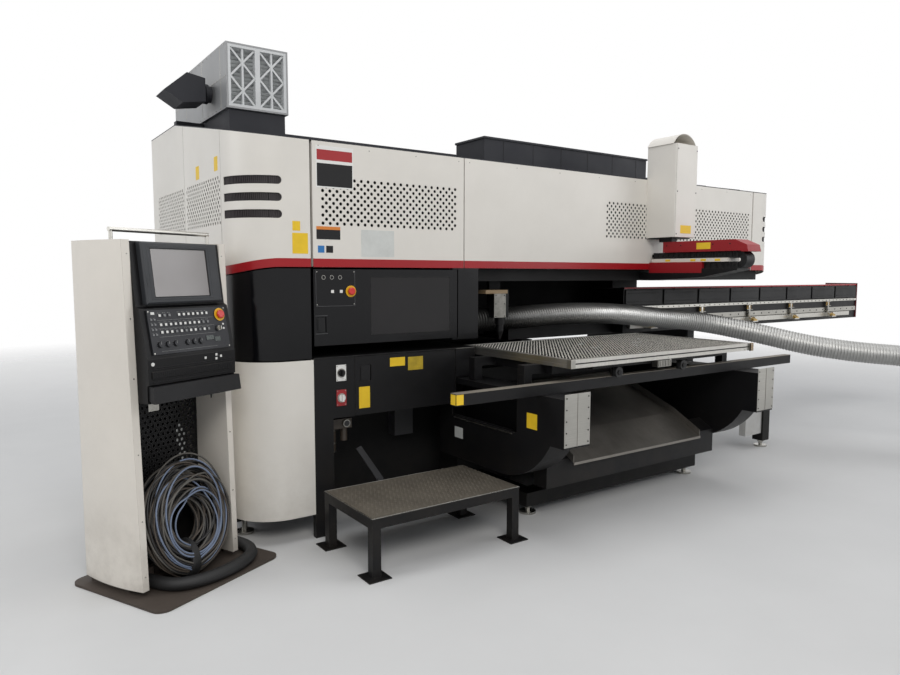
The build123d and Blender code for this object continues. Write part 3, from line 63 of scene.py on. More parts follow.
class Nodes:
    """Short-hand for building the node tree of a material or a world."""

    def __init__(self, owner):
        owner.use_nodes = True
        self.tree = owner.node_tree

    def add(self, kind, **values):
        node = self.tree.nodes.new(kind)
        for key, value in values.items():
            if hasattr(node, key):
                setattr(node, key, value)
            else:
                node.inputs[key].default_value = value
        return node

    def link(self, source, target):
        """Feeds a socket from another one, or with a plain value."""
        if isinstance(source, bpy.types.NodeSocket):
            self.tree.links.new(source, target)
        else:
            target.default_value = source

    def pair(self, kind, first, second, **values):
        """Node whose first two inputs are fed."""
        node = self.add(kind, **values)
        self.link(first, node.inputs[0])
        self.link(second, node.inputs[1])
        return node

    def noise(self, scale, detail, roughness=0.55, stretch=None):
        node = self.add("ShaderNodeTexNoise", Scale=scale, Detail=detail, Roughness=roughness)
        place = self.place
        if stretch:
            mapping = self.add("ShaderNodeMapping", Scale=stretch)
            self.link(place, mapping.inputs["Vector"])
            place = mapping.outputs["Vector"]
        self.link(place, node.inputs["Vector"])
        return node.outputs["Fac"]

    def span(self, value, low, high, to_low=0, to_high=1):
        node = self.add("ShaderNodeMapRange", **{"From Min": low, "From Max": high,
                                                 "To Min": to_low, "To Max": to_high})
        self.link(value, node.inputs["Value"])
        return node.outputs["Result"]

    def blend(self, factor, first, second):
        node = self.add("ShaderNodeMix", data_type="RGBA")
        self.link(factor, node.inputs["Factor"])
        self.link(first, node.inputs[6])
        self.link(second, node.inputs[7])
        return node.outputs[2]

    def times(self, first, second):
        return self.pair("ShaderNodeMath", first, second, operation="MULTIPLY").outputs[0]

    def along(self, axis):
        node = self.add("ShaderNodeSeparateXYZ")
        self.link(self.place, node.inputs[0])
        return node.outputs[axis]


def surface(name):
    """Nodes of a new material, with its shader and object coordinates at hand."""
    material = bpy.data.materials.new(name)
    n = Nodes(material)
    n.material, n.shader = material, n.tree.nodes["Principled BSDF"]
    n.place = n.add("ShaderNodeTexCoord").outputs["Object"]
    return n


def finish(name, colour, rough=0.45, metallic=0, mottle=0.06, mottle_scale=1.6, grain=0.03,
           grain_scale=420, dirt=None, dirt_height=0.6, coat=0, scratches=0, stretch=None,
           edge=1.5, wear=None, specular=0.5, scuffs=(), painted_shadow_x=None):
    """Surface with colour drift, fine grain, soft edges, dirt near the floor and edge wear.

    Dirt and wear are each an amount and a colour; edge is the radius of the soft edges; a span of
    X, where given, darkens the colour from its first end to its second as painted shadow.
    """
    n = surface(name)
    colour = rgb(*colour)
    drift = n.span(n.noise(mottle_scale, 6, 0.6), 0.3, 0.7)
    result = n.blend(drift, shade(colour, 1 - mottle), shade(colour, 1 + mottle))
    if stretch:
        streak = n.span(n.noise(6, 8, 0.7, stretch), 0.35, 0.65)
        result = n.blend(n.times(streak, 0.55), result, shade(colour, 0.78))
    if scratches:
        marks = n.span(n.noise(3, 10, 0.8, (1, 1, 9)), 0.62, 0.72)
        result = n.blend(n.times(marks, scratches), result, shade(colour, 0.55))
    if dirt:
        low = n.span(n.along("Z"), 0, dirt_height, 1, 0.12)
        cloud = n.span(n.noise(5, 8, 0.68), 0.38, 0.72)
        result = n.blend(n.times(n.times(low, cloud), dirt[0]), result, rgb(*dirt[1]))
    for spot, radius in scuffs:
        near = n.pair("ShaderNodeVectorMath", n.place, spot, operation="DISTANCE")
        close = n.span(near.outputs["Value"], radius, radius * 0.4)
        marks = n.span(n.noise(16, 8, 0.75, (1, 1, 0.35)), 0.52, 0.6)
        result = n.blend(n.times(close, marks), result, rgb(70, 66, 62))
    # Painted shadow: the colour darkens across the given span of X
    if painted_shadow_x:
        result = n.blend(n.span(n.along("X"), *painted_shadow_x), result, shade(colour, 0.12))
    bevel = n.add("ShaderNodeBevel", samples=4, Radius=edge * MM)
    if wear:
        flat = n.add("ShaderNodeNewGeometry").outputs["True Normal"]
        turn = n.pair("ShaderNodeVectorMath", flat, bevel.outputs["Normal"],
                      operation="DOT_PRODUCT")
        near_edge = n.span(turn.outputs["Value"], 0.999, 0.93)
        patchy = n.span(n.noise(28, 6, 0.7), 0.42, 0.6)
        result = n.blend(n.times(n.times(near_edge, patchy), wear[0]), result, rgb(*wear[1]))
    n.link(result, n.shader.inputs["Base Color"])
    uneven = n.span(n.noise(3.5, 7, 0.65), 0.3, 0.7, max(0.05, rough - 0.07), rough + 0.09)
    n.link(uneven, n.shader.inputs["Roughness"])
    for key, value in (("Metallic", metallic), ("Specular IOR Level", specular),
                       ("Coat Weight", coat), ("Coat Roughness", 0.12)):
        n.link(value, n.shader.inputs[key])
    bump = n.add("ShaderNodeBump", Strength=grain, Distance=0.002)
    n.link(n.noise(grain_scale, 3), bump.inputs["Height"])
    n.link(bevel.outputs["Normal"], bump.inputs["Normal"])
    n.link(bump.outputs["Normal"], n.shader.inputs["Normal"])
    return n.material


def sheath(tint, colour, rough=0.5, mottle=0.12):
    """Cable sheath of a colour."""
    return finish(tint + "_cable_sheath", colour, rough, mottle=mottle, mottle_scale=9,
                  grain=0.05, edge=0.3)


WHITE = finish(
    "white_powder_coat", (226, 222, 214), 0.42, mottle=0.035, grain=0.1, grain_scale=900,
    dirt=(0.32, (150, 138, 120)), scratches=0.1, edge=2.5, wear=(0.25, (130, 122, 110)))
CREAM = finish(
    "console_white_coat", (224, 218, 208), 0.38, mottle=0.03, grain=0.08, grain_scale=900,
    dirt=(0.45, (120, 108, 92)), dirt_height=0.5, scratches=0.22, edge=3,
    wear=(0.3, (120, 112, 100)),
    scuffs=(((-3.36, -0.36, 0.6), 0.11), ((-3.34, -0.34, 0.5), 0.08), ((-3.3, -0.28, 0.1), 0.12)))
RED = finish(
    "red_gloss_coat", (158, 16, 26), 0.36, mottle=0.05, grain=0.05, coat=0.1, scratches=0.12,
    specular=0.35)
TRAY_RED = finish(
    "tray_red_coat", (148, 22, 30), mottle=0.07, grain=0.08, scratches=0.15, edge=3,
    wear=(0.2, (180, 80, 74)), specular=0.35)
BLACK = finish(
    "black_powder_coat", (13, 13, 15), mottle=0.25, grain=0.12, grain_scale=800,
    dirt=(0.35, (62, 56, 48)), scratches=0.3, edge=2, wear=(0.45, (110, 106, 100)), specular=0.24)
BAND = finish(
    "glossy_black_band", (9, 9, 12), 0.2, mottle=0.2, coat=0.05, scratches=0.5,
    wear=(0.25, (88, 88, 90)), specular=0.24)
FRAME = finish(
    "dark_frame_paint", (14, 14, 15), 0.55, mottle=0.25, grain=0.2, grain_scale=500,
    dirt=(0.35, (50, 46, 41)), edge=3, wear=(0.35, (100, 96, 90)), specular=0.2)
ROOF = finish("dark_roof_paint", (40, 41, 46), 0.6, mottle=0.12, grain=0.15, edge=2, specular=0.3)
HOUSING = finish(
    "grey_housing_coat", (148, 149, 150), 0.42, 0.3, 0.06, 2, 0.06, 400, scratches=0.2, edge=2)
BOX_DARK = finish("dark_grey_box", (58, 58, 60), 0.5, mottle=0.1, grain=0.1, edge=2)
STAINLESS = finish(
    "worn_stainless", (176, 174, 168), 0.34, 1, 0.08, 3, 0.05, 300, stretch=(1, 1, 30),
    scratches=0.5, edge=1)
CHUTE = finish(
    "worn_chute_sheet", (138, 134, 128), 0.42, 0.85, 0.14, 2.2, 0.08, 260, stretch=(26, 1, 1),
    scratches=0.6, edge=1, dirt=(0.5, (84, 78, 70)), dirt_height=1.2)
# Painted shadow: the duct darkens from X 0.5 m to -0.5 m, towards its end inside the dark throat
ZINC = finish(
    "zinc_coated_spiral", (172, 172, 170), 0.42, 0.85, 0.05, 5, 0.04, 300, scratches=0.12,
    edge=0.5, painted_shadow_x=(0.5, -0.5))
ALUMINIUM = finish(
    "extruded_aluminium", (196, 194, 188), 0.33, 1, 0.05, 2, 0.04, 300, stretch=(14, 1, 1),
    scratches=0.35, edge=1)
STEEL = finish(
    "machined_steel", (168, 166, 160), 0.28, 1, 0.06, 4, 0.05, 300, stretch=(1, 20, 1), edge=0.8)
BRASS = finish("brass_fitting", (190, 158, 92), 0.32, 1, 0.08, 6, 0.05, edge=0.8)
RUBBER = finish(
    "black_rubber", (18, 18, 19), 0.62, mottle=0.2, mottle_scale=12, grain=0.25, grain_scale=500,
    edge=1)
PLASTIC = finish(
    "black_plastic", (13, 13, 15), 0.5, mottle=0.15, grain=0.22, grain_scale=700, edge=1.2,
    specular=0.3)
GREY = finish(
    "console_grey_plastic", (52, 54, 57), 0.46, mottle=0.07, grain=0.25, grain_scale=900, edge=2,
    wear=(0.2, (110, 110, 110)), specular=0.35)
PANEL_GREY = finish(
    "key_panel_film", (36, 37, 41), 0.4, mottle=0.05, grain=0.05, edge=1, specular=0.3)
BOX_GREY = finish(
    "light_grey_coat", (188, 188, 186), 0.5, grain=0.1, dirt=(0.4, (120, 108, 92)), edge=2)
TREAD = finish(
    "chequer_tread", (98, 92, 82), 0.6, 0.2, 0.18, 4, 0.25, 260, scratches=0.3,
    dirt=(0.6, (58, 52, 44)), dirt_height=0.8, edge=1)
BASE_MAT = finish(
    "worn_base_plate", (74, 66, 60), 0.7, 0.1, 0.2, 3, 0.2, 220, scratches=0.4, specular=0.3)
YELLOW = finish("yellow_plate", (236, 196, 36), 0.5, mottle_scale=14, scratches=0.12, edge=0.3)
PALE = finish(
    "pale_plate", (206, 208, 204), 0.5, mottle=0.07, mottle_scale=14, scratches=0.2, edge=0.3)
CREAM_WHITE = finish("plain_white_plate", (232, 231, 227), 0.42, mottle=0.03, edge=0.3)
SIGN_RED = finish("red_switch_plate", (158, 36, 40), 0.42, edge=0.3)
STOP_RED = finish(
    "red_mushroom_cap", (206, 34, 30), 0.3, mottle=0.05, grain=0.02, coat=0.3, edge=2)
STOP_YELLOW = finish("yellow_guard_ring", (230, 176, 20), 0.4, edge=0.6)
KEY_WHITE = finish("white_key_cap", (224, 224, 220), 0.4, mottle=0.04, grain=0.02, edge=0.8)
SCREEN = finish(
    "screen_glass", (106, 100, 98), 0.16, mottle=0.05, mottle_scale=2, grain=0, coat=0.4, edge=0.3)
PANE = finish(
    "smoked_window_pane", (15, 12, 14), 0.1, mottle=0.5, mottle_scale=2.2, grain=0, coat=0.12,
    scratches=0.8, edge=0.3, specular=0.3)
LINER = finish("slot_liner", (44, 38, 40), 0.5, mottle=0.15, mottle_scale=20, grain=0.1, edge=0.6)
FILTER = finish(
    "white_filter_media", (214, 216, 216), 0.75, mottle=0.05, mottle_scale=8, grain=0.3,
    grain_scale=300, edge=1)
TUFT = finish(
    "pale_brush_tuft", (206, 203, 194), 0.6, mottle=0.12, mottle_scale=30, grain=0.2, edge=0.3)
BROWN = finish("beige_block", (150, 128, 98), 0.5, mottle=0.1, grain=0.08, edge=1)
CABLE_GREY = sheath("grey", (88, 85, 80))
CABLE_BLUE = sheath("blue_grey", (112, 124, 146), 0.45, 0.1)
CABLE_BLACK = sheath("black", (26, 25, 26))
CABLE_BROWN = sheath("brown", (76, 68, 60))


# Mesh helpers

def add_object(name, data):
    """New object in the scene."""
    item = bpy.data.objects.new(name, data)
    bpy.context.scene.collection.objects.link(item)
    return item


def box(bm, x, y, z, bevel=0):
    """Box between pairs of limits, with its edges eased by bevel."""
    corners = [bm.verts.new((a * MM, b * MM, c * MM)) for a in x for b in y for c in z]
    order = ((0, 1, 3, 2), (4, 6, 7, 5), (0, 4, 5, 1), (2, 3, 7, 6), (0, 2, 6, 4), (1, 5, 7, 3))
    faces = [bm.faces.new([corners[i] for i in face]) for face in order]
    if bevel:
        edges = list(dict.fromkeys(edge for face in faces for edge in face.edges))
        bmesh.ops.bevel(bm, geom=edges, offset=bevel * MM, segments=2, profile=0.5, affect="EDGES")


AXES = {"X": Matrix.Rotation(pi / 2, 4, "Y"), "Y": Matrix.Rotation(pi / 2, 4, "X"),
        "Z": Matrix.Identity(4)}


def rod(bm, centre, radius, length, axis, segments):
    """Cylinder about a centre, along an axis."""
    matrix = Matrix.Translation(Vector(centre) * MM) @ AXES[axis]
    bmesh.ops.create_cone(bm, cap_ends=True, segments=segments, radius1=radius * MM,
                          radius2=radius * MM, depth=length * MM, matrix=matrix)


def join_rows(bm, first, second, closed=True):
    """Quads between two rows of vertices, and round to the start if they are closed."""
    count = len(first)
    for i in range(count if closed else count - 1):
        j = (i + 1) % count
        bm.faces.new((first[i], first[j], second[j], second[i]))


def ring(bm, centre, outer, inner, length, axis, segments):
    """Flat ring with square edges."""
    matrix = Matrix.Translation(Vector(centre) * MM) @ AXES[axis]
    loops = []
    for radius, offset in ((outer, -0.5), (outer, 0.5), (inner, 0.5), (inner, -0.5)):
        loop = []
        for i in range(segments):
            angle = tau * i / segments
            point = Vector((radius * cos(angle), radius * sin(angle), offset * length)) * MM
            loop.append(bm.verts.new(matrix @ point))
        loops.append(loop)
    for first, second in zip(loops, loops[1:] + loops[:1]):
        join_rows(bm, first, second)


def strip(bm, inner_line, outer_line, z_low, z_high):
    """Upright sheet between two plan lines, closed all round."""
    rows = [[bm.verts.new((x * MM, y * MM, z * MM)) for x, y in line]
            for line, z in ((outer_line, z_low), (outer_line, z_high), (inner_line, z_high),
                            (inner_line, z_low))]
    for first, second in zip(rows, rows[1:] + rows[:1]):
        join_rows(bm, first, second, closed=False)
    for i in (0, -1):
        bm.faces.new([row[i] for row in rows])


def prism(bm, points, axis, limits):
    """Solid with a flat outline: Y-Z points along X, or X-Z points along Y."""
    place = {"X": lambda a, b, t: (t, a, b), "Y": lambda a, b, t: (a, t, b)}[axis]
    sides = [[bm.verts.new(Vector(place(a, b, t)) * MM) for a, b in points] for t in limits]
    for side in sides:
        bm.faces.new(side)
    join_rows(bm, *sides)


def piece(name, bm, material, body="machine", matrix=None, slot=None, replaces=(),
          smooth=False, angle=35):
    """Turns a bmesh into an object that rides on a body, set on its place by a matrix."""
    if matrix is not None:
        bm.transform(matrix)
    bmesh.ops.recalc_face_normals(bm, faces=bm.faces)
    data = bpy.data.meshes.new(name)
    bm.to_mesh(data)
    bm.free()
    data.materials.append(material)
    if smooth:
        data.shade_smooth()
        data.set_sharp_from_angle(angle=radians(angle))
    item = add_object(name, data)
    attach(item, body)
    if replaces:
        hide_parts(*replaces)


def assemble(name, material, shapes, body="machine", **options):
    """Piece made of shapes, each given as a helper and its values."""
    bm = bmesh.new()
    for make, *values in shapes:
        make(bm, *values)
    piece(name, bm, material, body, **options)


def boxes(name, material, items, body="machine", bevel=0.3, **options):
    """Piece made of boxes: X, Y and Z limits, then a bevel where it isn't the common one."""
    assemble(name, material, [(box, *(*item, bevel)[:4]) for item in items], body, **options)


def copies(name, material, make, centres, *shape, **options):
    """Piece made of equal rods, rings or springs."""
    assemble(name, material, [(make, centre, *shape) for centre in centres], **options)


def screws(name, points, axis, radius, head, material=STEEL, body="machine"):
    """Round-headed screws at a list of points, standing proud along the axis."""
    bm = bmesh.new()
    for point in points:
        centre = list(point)
        centre["XYZ".index(axis)] -= head / 2
        rod(bm, centre, radius, head, axis, 14)
        centre["XYZ".index(axis)] -= head / 2 + 0.2
        rod(bm, centre, radius * 0.5, 0.5, axis, 6)
    piece(name, bm, material, body, smooth=True)


def add_holed_sheet(bm, outline, holes, thickness, matrix):
    """Flat sheet with round holes, from 0 to its thickness in the matrix's own X-Y plane."""
    curve = bpy.data.curves.new("holed", "CURVE")
    curve.dimensions = "2D"
    curve.fill_mode = "BOTH"
    curve.extrude = thickness / 2 * MM
    loops = [outline]
    for x, y, radius in holes:
        loops.append([(x + radius * cos(pi * i / 6),
                       y + radius * sin(pi * i / 6)) for i in range(12)])
    for loop in loops:
        spline = curve.splines.new("POLY")
        spline.points.add(len(loop) - 1)
        for point, (x, y) in zip(spline.points, loop):
            point.co = (x * MM, y * MM, 0, 1)
        spline.use_cyclic_u = True
    holder = bpy.data.objects.new("holed", curve)
    data = bpy.data.meshes.new_from_object(holder)
    data.transform(Matrix.Translation((0, 0, thickness / 2 * MM)))
    data.transform(matrix)
    bm.from_mesh(data)
    bpy.data.objects.remove(holder)
    bpy.data.curves.remove(curve)
    bpy.data.meshes.remove(data)


def staggered(x, z, pitch, row_pitch, radius):
    """Hole centres in staggered rows inside a rectangle."""
    holes = []
    for row in range(int((z[1] - z[0]) / row_pitch) + 1):
        start = x[0] + (pitch / 2 if row % 2 else 0)
        for i in range(int((x[1] - start) / pitch) + 1):
            holes.append((start + i * pitch, z[0] + row * row_pitch, radius))
    return holes


FRONT = Matrix(((1, 0, 0, 0), (0, 0, 1, 0), (0, 1, 0, 0), (0, 0, 0, 1)))
SIDE = Matrix(((0, 0, 1, 0), (1, 0, 0, 0), (0, 1, 0, 0), (0, 0, 0, 1)))


# Camera at the photo's viewpoint

YAW = radians(35)
PITCH = radians(5.2)
ROLL = radians(0.1)
EYE = (-3.81, -3.716, 1.55)
forward = Vector((sin(YAW) * cos(PITCH), cos(YAW) * cos(PITCH), -sin(PITCH)))
right = Vector((cos(YAW), -sin(YAW), 0))
up = right.cross(forward)
camera_data = bpy.data.cameras.new("photo_view")
camera_data.sensor_width = 36
camera_data.lens = 28
camera_data.clip_end = 60
camera = add_object("photo_view", camera_data)
turn = Matrix((right, up, -forward)).transposed() @ Matrix.Rotation(ROLL, 3, "Z")
camera.matrix_world = Matrix.Translation(EYE) @ turn.to_4x4()
bpy.context.scene.camera = camera


# Console cables and conduit

CONSOLE = Matrix.Translation((-3.167, -0.267, 0)) @ Matrix.Rotation(radians(26), 4, "Z")


def console_point(point):
    """Point of the console's own millimetre frame, in metres in the machine's frame."""
    return CONSOLE @ (Vector(point) * MM)


def cord(name, points, diameter, material, **options):
    """Cord whose route is one open curve through its control points."""
    curve = bpy.data.curves.new(name, "CURVE")
    curve.dimensions = "3D"
    spline = curve.splines.new("NURBS")
    spline.points.add(len(points) - 1)
    for target, point in zip(spline.points, points):
        target.co = (*point, 1)
    spline.order_u = 3
    spline.use_endpoint_u = True
    spline.resolution_u = 5
    curve.bevel_depth = diameter / 2
    curve.bevel_resolution = 2
    curve.use_fill_caps = True
    curve.materials.append(material)
    item = add_object(name, curve)
    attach(item, "machine")
    return item


CONDUIT_POINTS = [(672, 440, 45.2), (675, 280, 45.2), (676, 120, 45.2), (664, 0, 45.2),
                  (612, -102, 45.2), (500, -150, 45.2), (370, -160, 45.2), (240, -142, 45.2),
                  (140, -86, 45.2), (104, 10, 45.2), (100, 110, 45.2)]
conduit = cord("console_conduit", [console_point(p) for p in CONDUIT_POINTS], 0.066,
               RUBBER, exit=console_point(CONDUIT_POINTS[0]), length=1.24, far_end="object",
               stiffness="medium", lay="loose")
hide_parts("conduit")

COIL_CENTRE = Vector((300, 70, 305))
COIL_RADIUS = 174
COIL_LEAN = radians(12)
COIL_UP = Vector((0, sin(COIL_LEAN), cos(COIL_LEAN)))
COIL_FRONT = Vector((0, -cos(COIL_LEAN), sin(COIL_LEAN)))
STRAP = radians(262)
ENDS = radians(7)
BUNDLE_TURNS = 7
BUNDLE_RADIUS = 84
CORE_PLACES = 34
PLACE_PITCH = 1.12


def free_from_strap(angle):
    """0 where the strap ties the bundle, 1 on the far side of the ring."""
    return (1 - cos(angle - STRAP)) / 2


def coil_point(angle, outward, forward_shift):
    """Point near the ring's middle line, moved outwards and to the front."""
    sag = 1 - 0.04 * (1 + sin(angle - 0.6)) / 2 - 0.03 * sin(2 * angle + 0.8) ** 2
    drop = 11 * (1 - free_from_strap(angle))
    along = Vector((cos(angle), 0, 0)) + COIL_UP * (1.13 * sin(angle))
    return console_point(COIL_CENTRE + along * (COIL_RADIUS * sag + drop + outward)
                         + COIL_FRONT * forward_shift)


def turn_points(turns, steps, section, drift):
    """Turns of a cable, from its place in the bundle's section and its drift when free."""
    points = []
    for i in range(turns * steps + 1):
        travelled = i / steps
        angle = STRAP + ENDS + travelled * tau - 2 * ENDS * travelled / turns
        free = free_from_strap(angle)
        radius, wrap = section(travelled)
        outward, shift = drift(angle)
        points.append(coil_point(angle, radius * cos(wrap) + free * outward,
                                 radius * sin(wrap) + free * shift))
    return points


def bundle_points(index, count, diameter, backwards):
    """Turns of one cable, each a few places further round the bundle than the last."""
    def section(travelled):
        turns_laid = BUNDLE_TURNS - travelled if backwards else travelled
        place = CORE_PLACES + index + count * turns_laid
        wrap = sqrt(4 * pi * place)
        return PLACE_PITCH * diameter * wrap / tau, wrap
    return turn_points(BUNDLE_TURNS, 12, section, lambda angle: (
        20 * sin(0.61 * angle + index), 19 * cos(0.43 * angle + 2 * index)))


def loose_points(turns, start, spread, phase):
    """Turns that leave the strap on the bundle's outside and fan out in front of it."""
    return turn_points(
        turns, 14, lambda travelled: (BUNDLE_RADIUS, start + 0.5 * sin(1.7 * travelled + phase)),
        lambda angle: (spread * sin(angle * 1.31 + phase), 20 * sin(angle * 0.77 + 2 * phase)))


def curve_length(points):
    """Length of an open quadratic B-spline with clamped ends."""
    total = 0
    last = points[0]
    spans = len(points) - 2
    for k in range(spans):
        start = points[0] if k == 0 else (points[k] + points[k + 1]) / 2
        end = points[-1] if k == spans - 1 else (points[k + 1] + points[k + 2]) / 2
        for step in range(1, 9):
            t = step / 8
            here = start * (1 - t) ** 2 + points[k + 1] * 2 * t * (1 - t) + end * t * t
            total += (here - last).length
            last = here
    return total


def coil_cord(name, points, diameter, material):
    """Cable of the coil, as long as its modelled turns."""
    return cord(name, points, diameter, material, exit=points[0], length=curve_length(points),
                far_end="object", stiffness="limp", lay="coiled")


BUNDLE = (CABLE_BLACK, CABLE_BROWN, CABLE_GREY, CABLE_BLACK, CABLE_BROWN, CABLE_BLACK,
          CABLE_GREY, CABLE_BROWN, CABLE_BLACK, CABLE_GREY, CABLE_BLACK, CABLE_BROWN)
bundle_cords = [coil_cord(f"coil_cable_{index + 1}",
                          bundle_points(index, len(BUNDLE), 11, index % 3 == 1), 0.011,
                          material) for index, material in enumerate(BUNDLE)]
LOOSE = ((CABLE_BLUE, 3, 1.35, 46, 0.4), (CABLE_GREY, 3, 0.9, 52, 2.3),
         (CABLE_BLUE, 2, 1.9, 50, 4), (CABLE_BROWN, 3, 0.5, 26, 5.2),
         (CABLE_BLACK, 2, 1.1, 44, 3.1))
for index, (material, *course) in enumerate(LOOSE):
    coil_cord(f"coil_loose_{index + 1}", loose_points(*course), 0.009, material)
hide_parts("cable_coil")

# Strap that holds the coil on the base plate, where every cable starts and ends
bm = bmesh.new()
rows = []
for side in range(-3, 4):
    swell = 91.5 if abs(side) < 3 else 85
    rows.append([bm.verts.new(coil_point(STRAP + radians(8 * side / 3),
                                         swell * cos(tau * i / 28),
                                         swell * sin(tau * i / 28)))
                 for i in range(28)])
for first, second in zip(rows, rows[1:]):
    join_rows(bm, first, second)
bm.faces.new(rows[0])
bm.faces.new(rows[-1])
piece("coil_strap", bm, RUBBER, smooth=True)


# CAD solids that are shown as they are

SHOWN = (
    (WHITE, "corner_cover_left corner_cover_right rear_panels lower_corner_cover tower_column"),
    (CREAM, "console_side_panels tray_liner"), (RED, "red_trim_strips"),
    (TRAY_RED, "tray_cover"), (FRAME, "bridge_frame base_frame"), (HOUSING, "filter_housing"),
    (ROOF, "exhaust_hood roof_covers"), (FILTER, "filter_panels"), (STAINLESS, "wing_plates"),
    (ALUMINIUM, "clamp_rail table_rim console_handle"), (CHUTE, "scrap_chute"),
    (STEEL, "levelling_feet console_key_switch"), (BASE_MAT, "console_base"),
    (BLACK, "cutting_head step_platform cabinet_frame cabinet_door bumper_bar brush_table "
            "carriage_beam sheet_carriage chute_wings console_body tray_arm"),
    (PLASTIC, "energy_chain disconnect_knob cabinet_latch door_latch console_drawer"),
    (GREY, "console_monitor"), (PANEL_GREY, "console_key_panel"),
    (STOP_RED, "door_estop console_estop"),
    (CREAM_WHITE, "door_button_left door_button_right lockout_knob"),
    (RUBBER, "table_roller_left table_roller_right"), (BRASS, "clamp_jaws"),
    (BOX_DARK, "junction_boxes"), (BAND, "band_covers front_window_door"),
    (finish("brown_grey_regulator", (70, 62, 54), 0.4, mottle=0.2, mottle_scale=12, grain=0.1),
     "air_filter_regulator"))
for material, nodes in SHOWN:
    for node in nodes.split():
        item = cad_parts[node]
        item.data.materials.clear()
        item.data.materials.append(material)


# Perforated covers in place of the plain CAD sheets

SHEET = 3
EAVES, RIDGE, RIDGE_Y = 2293, 2528, 1240
ROOF_RISE = (RIDGE - EAVES) / RIDGE_Y
SIDE_X = -2580
SIDE_SPANS = ((286, 1041), (1047, 1917))
BAY_LEVELS = (1800, 2140)
FRONT_SPANS = ((-2156, -1101), (-1095, 994), (1000, 2156))


def cover_holes(start, end):
    """Staggered holes of the covers, between two places along the sheet."""
    return staggered((start, end), (1836, 2100), 45, 22.9, 9.6)


for name, x, field in zip(("left", "middle", "right"), FRONT_SPANS,
                          ((64, 996), (1342, 2056), (42, 1100))):
    z = (1587, EAVES)
    bm = bmesh.new()
    add_holed_sheet(bm, [(x[0], z[0]), (x[1], z[0]), (x[1], z[1]), (x[0], z[1])],
                    cover_holes(x[0] + field[0], x[0] + field[1]), SHEET, FRONT)
    for side in (x[0], x[1] - SHEET):
        box(bm, (side, side + SHEET), (1.5, 30), z)
    for level in (z[0], z[1] - SHEET):
        box(bm, x, (1.5, 30), (level, level + SHEET))
    piece(f"front_panel_{name}_perforated", bm, WHITE, slot="white_coat",
          replaces=["front_panel_" + name])


def roof_height(y):
    """Upper line of the side panels at a depth."""
    return min(RIDGE, EAVES + ROOF_RISE * y)


# Side panels: two upper ones with hole fields, two plain lower ones
UPPER_LOW = 1542
LOWER = (145, 1056)
FLANGE_X = (SIDE_X + SHEET, -2550)
bm = bmesh.new()
for start, end in SIDE_SPANS:
    outline = [(start, UPPER_LOW), (end, UPPER_LOW), (end, roof_height(end))]
    if end > RIDGE_Y:
        outline.append((RIDGE_Y, RIDGE))
    outline.append((start, roof_height(start)))
    add_holed_sheet(bm, outline, cover_holes(start + 24, start + 714), SHEET,
                    Matrix.Translation((SIDE_X * MM, 0, 0)) @ SIDE)
    box(bm, FLANGE_X, (start, end), (UPPER_LOW, UPPER_LOW + SHEET))
    box(bm, (SIDE_X, SIDE_X + SHEET), (start, end), LOWER)
    for y in (start, end - SHEET):
        box(bm, FLANGE_X, (y, y + SHEET), (UPPER_LOW, roof_height(y) - 1))
        box(bm, FLANGE_X, (y, y + SHEET), LOWER)
    for z in (LOWER[0], LOWER[1] - SHEET):
        box(bm, FLANGE_X, (start, end), (z, z + SHEET))
piece("left_side_perforated", bm, WHITE, slot="white_coat", replaces=["left_side_panels"])

# Dark sheets close behind the holes: painted shade for the shaded inside seen through them
boxes("perforation_shade_sheets", FRAME,
      [(x, (26, 29), BAY_LEVELS) for x in ((-2110, -1140), (230, 975), (1030, 2120))]
      + [((-2553, -2550), y, BAY_LEVELS) for y in ((300, 1020), (1060, 1900))], bevel=0)

# Grilles behind the slots of the corner covers
CORNER_X, CORNER_RADIUS = 2300, 280


def corner_line(side, inset, end_x, end_y):
    """Plan line that follows a corner cover from the front to the side."""
    line = [(side * end_x, inset)]
    reach = CORNER_RADIUS - inset
    for step in range(13):
        angle = pi / 2 * step / 12
        line.append((side * CORNER_X + side * reach * sin(angle),
                     CORNER_RADIUS - reach * cos(angle)))
    line.append((side * (CORNER_X + CORNER_RADIUS - inset), end_y))
    return line


bm = bmesh.new()
for side in (-1, 1):
    for level in (2060, 1968, 1876):
        strip(bm, corner_line(side, 15, 2338, 262), corner_line(side, 13, 2338, 262),
              level - 30, level + 30)
        line = corner_line(side, 9, 2342, 256)
        total = [0]
        for a, b in zip(line, line[1:]):
            total.append(total[-1] + dist(a, b))
        count = int(total[-1] / 11)
        for i in range(count):
            distance = total[-1] * (i + 0.5) / count
            k = max(j for j in range(len(line) - 1) if total[j] <= distance)
            part = (distance - total[k]) / (total[k + 1] - total[k])
            x, y = (a + (b - a) * part for a, b in zip(line[k], line[k + 1]))
            rod(bm, (x, y, level), 3.2, 56, "Z", 6)
piece("slot_grilles", bm, LINER, smooth=True)

# Plain plates on the corner, where the machine carries printed ones
ON_COVER = (-0.8, 0.2)
boxes("yellow_plates_on_corner", YELLOW,
      [((-2277, -2231), ON_COVER, (1788, 1841)), ((-2279, -2186), ON_COVER, (1661, 1776))])


# Front door: pane, operator plate, rings, screws

DOOR = "front_door"
PANE_X, PANE_Z, PANE_EDGE = (-1786, -1214), (1184, 1526), 4
OPERATOR_FRONT = (-4.6, -3.9)
BUTTON_FRONT = (-5.2, -3.9)
BUTTON_Z = 1447

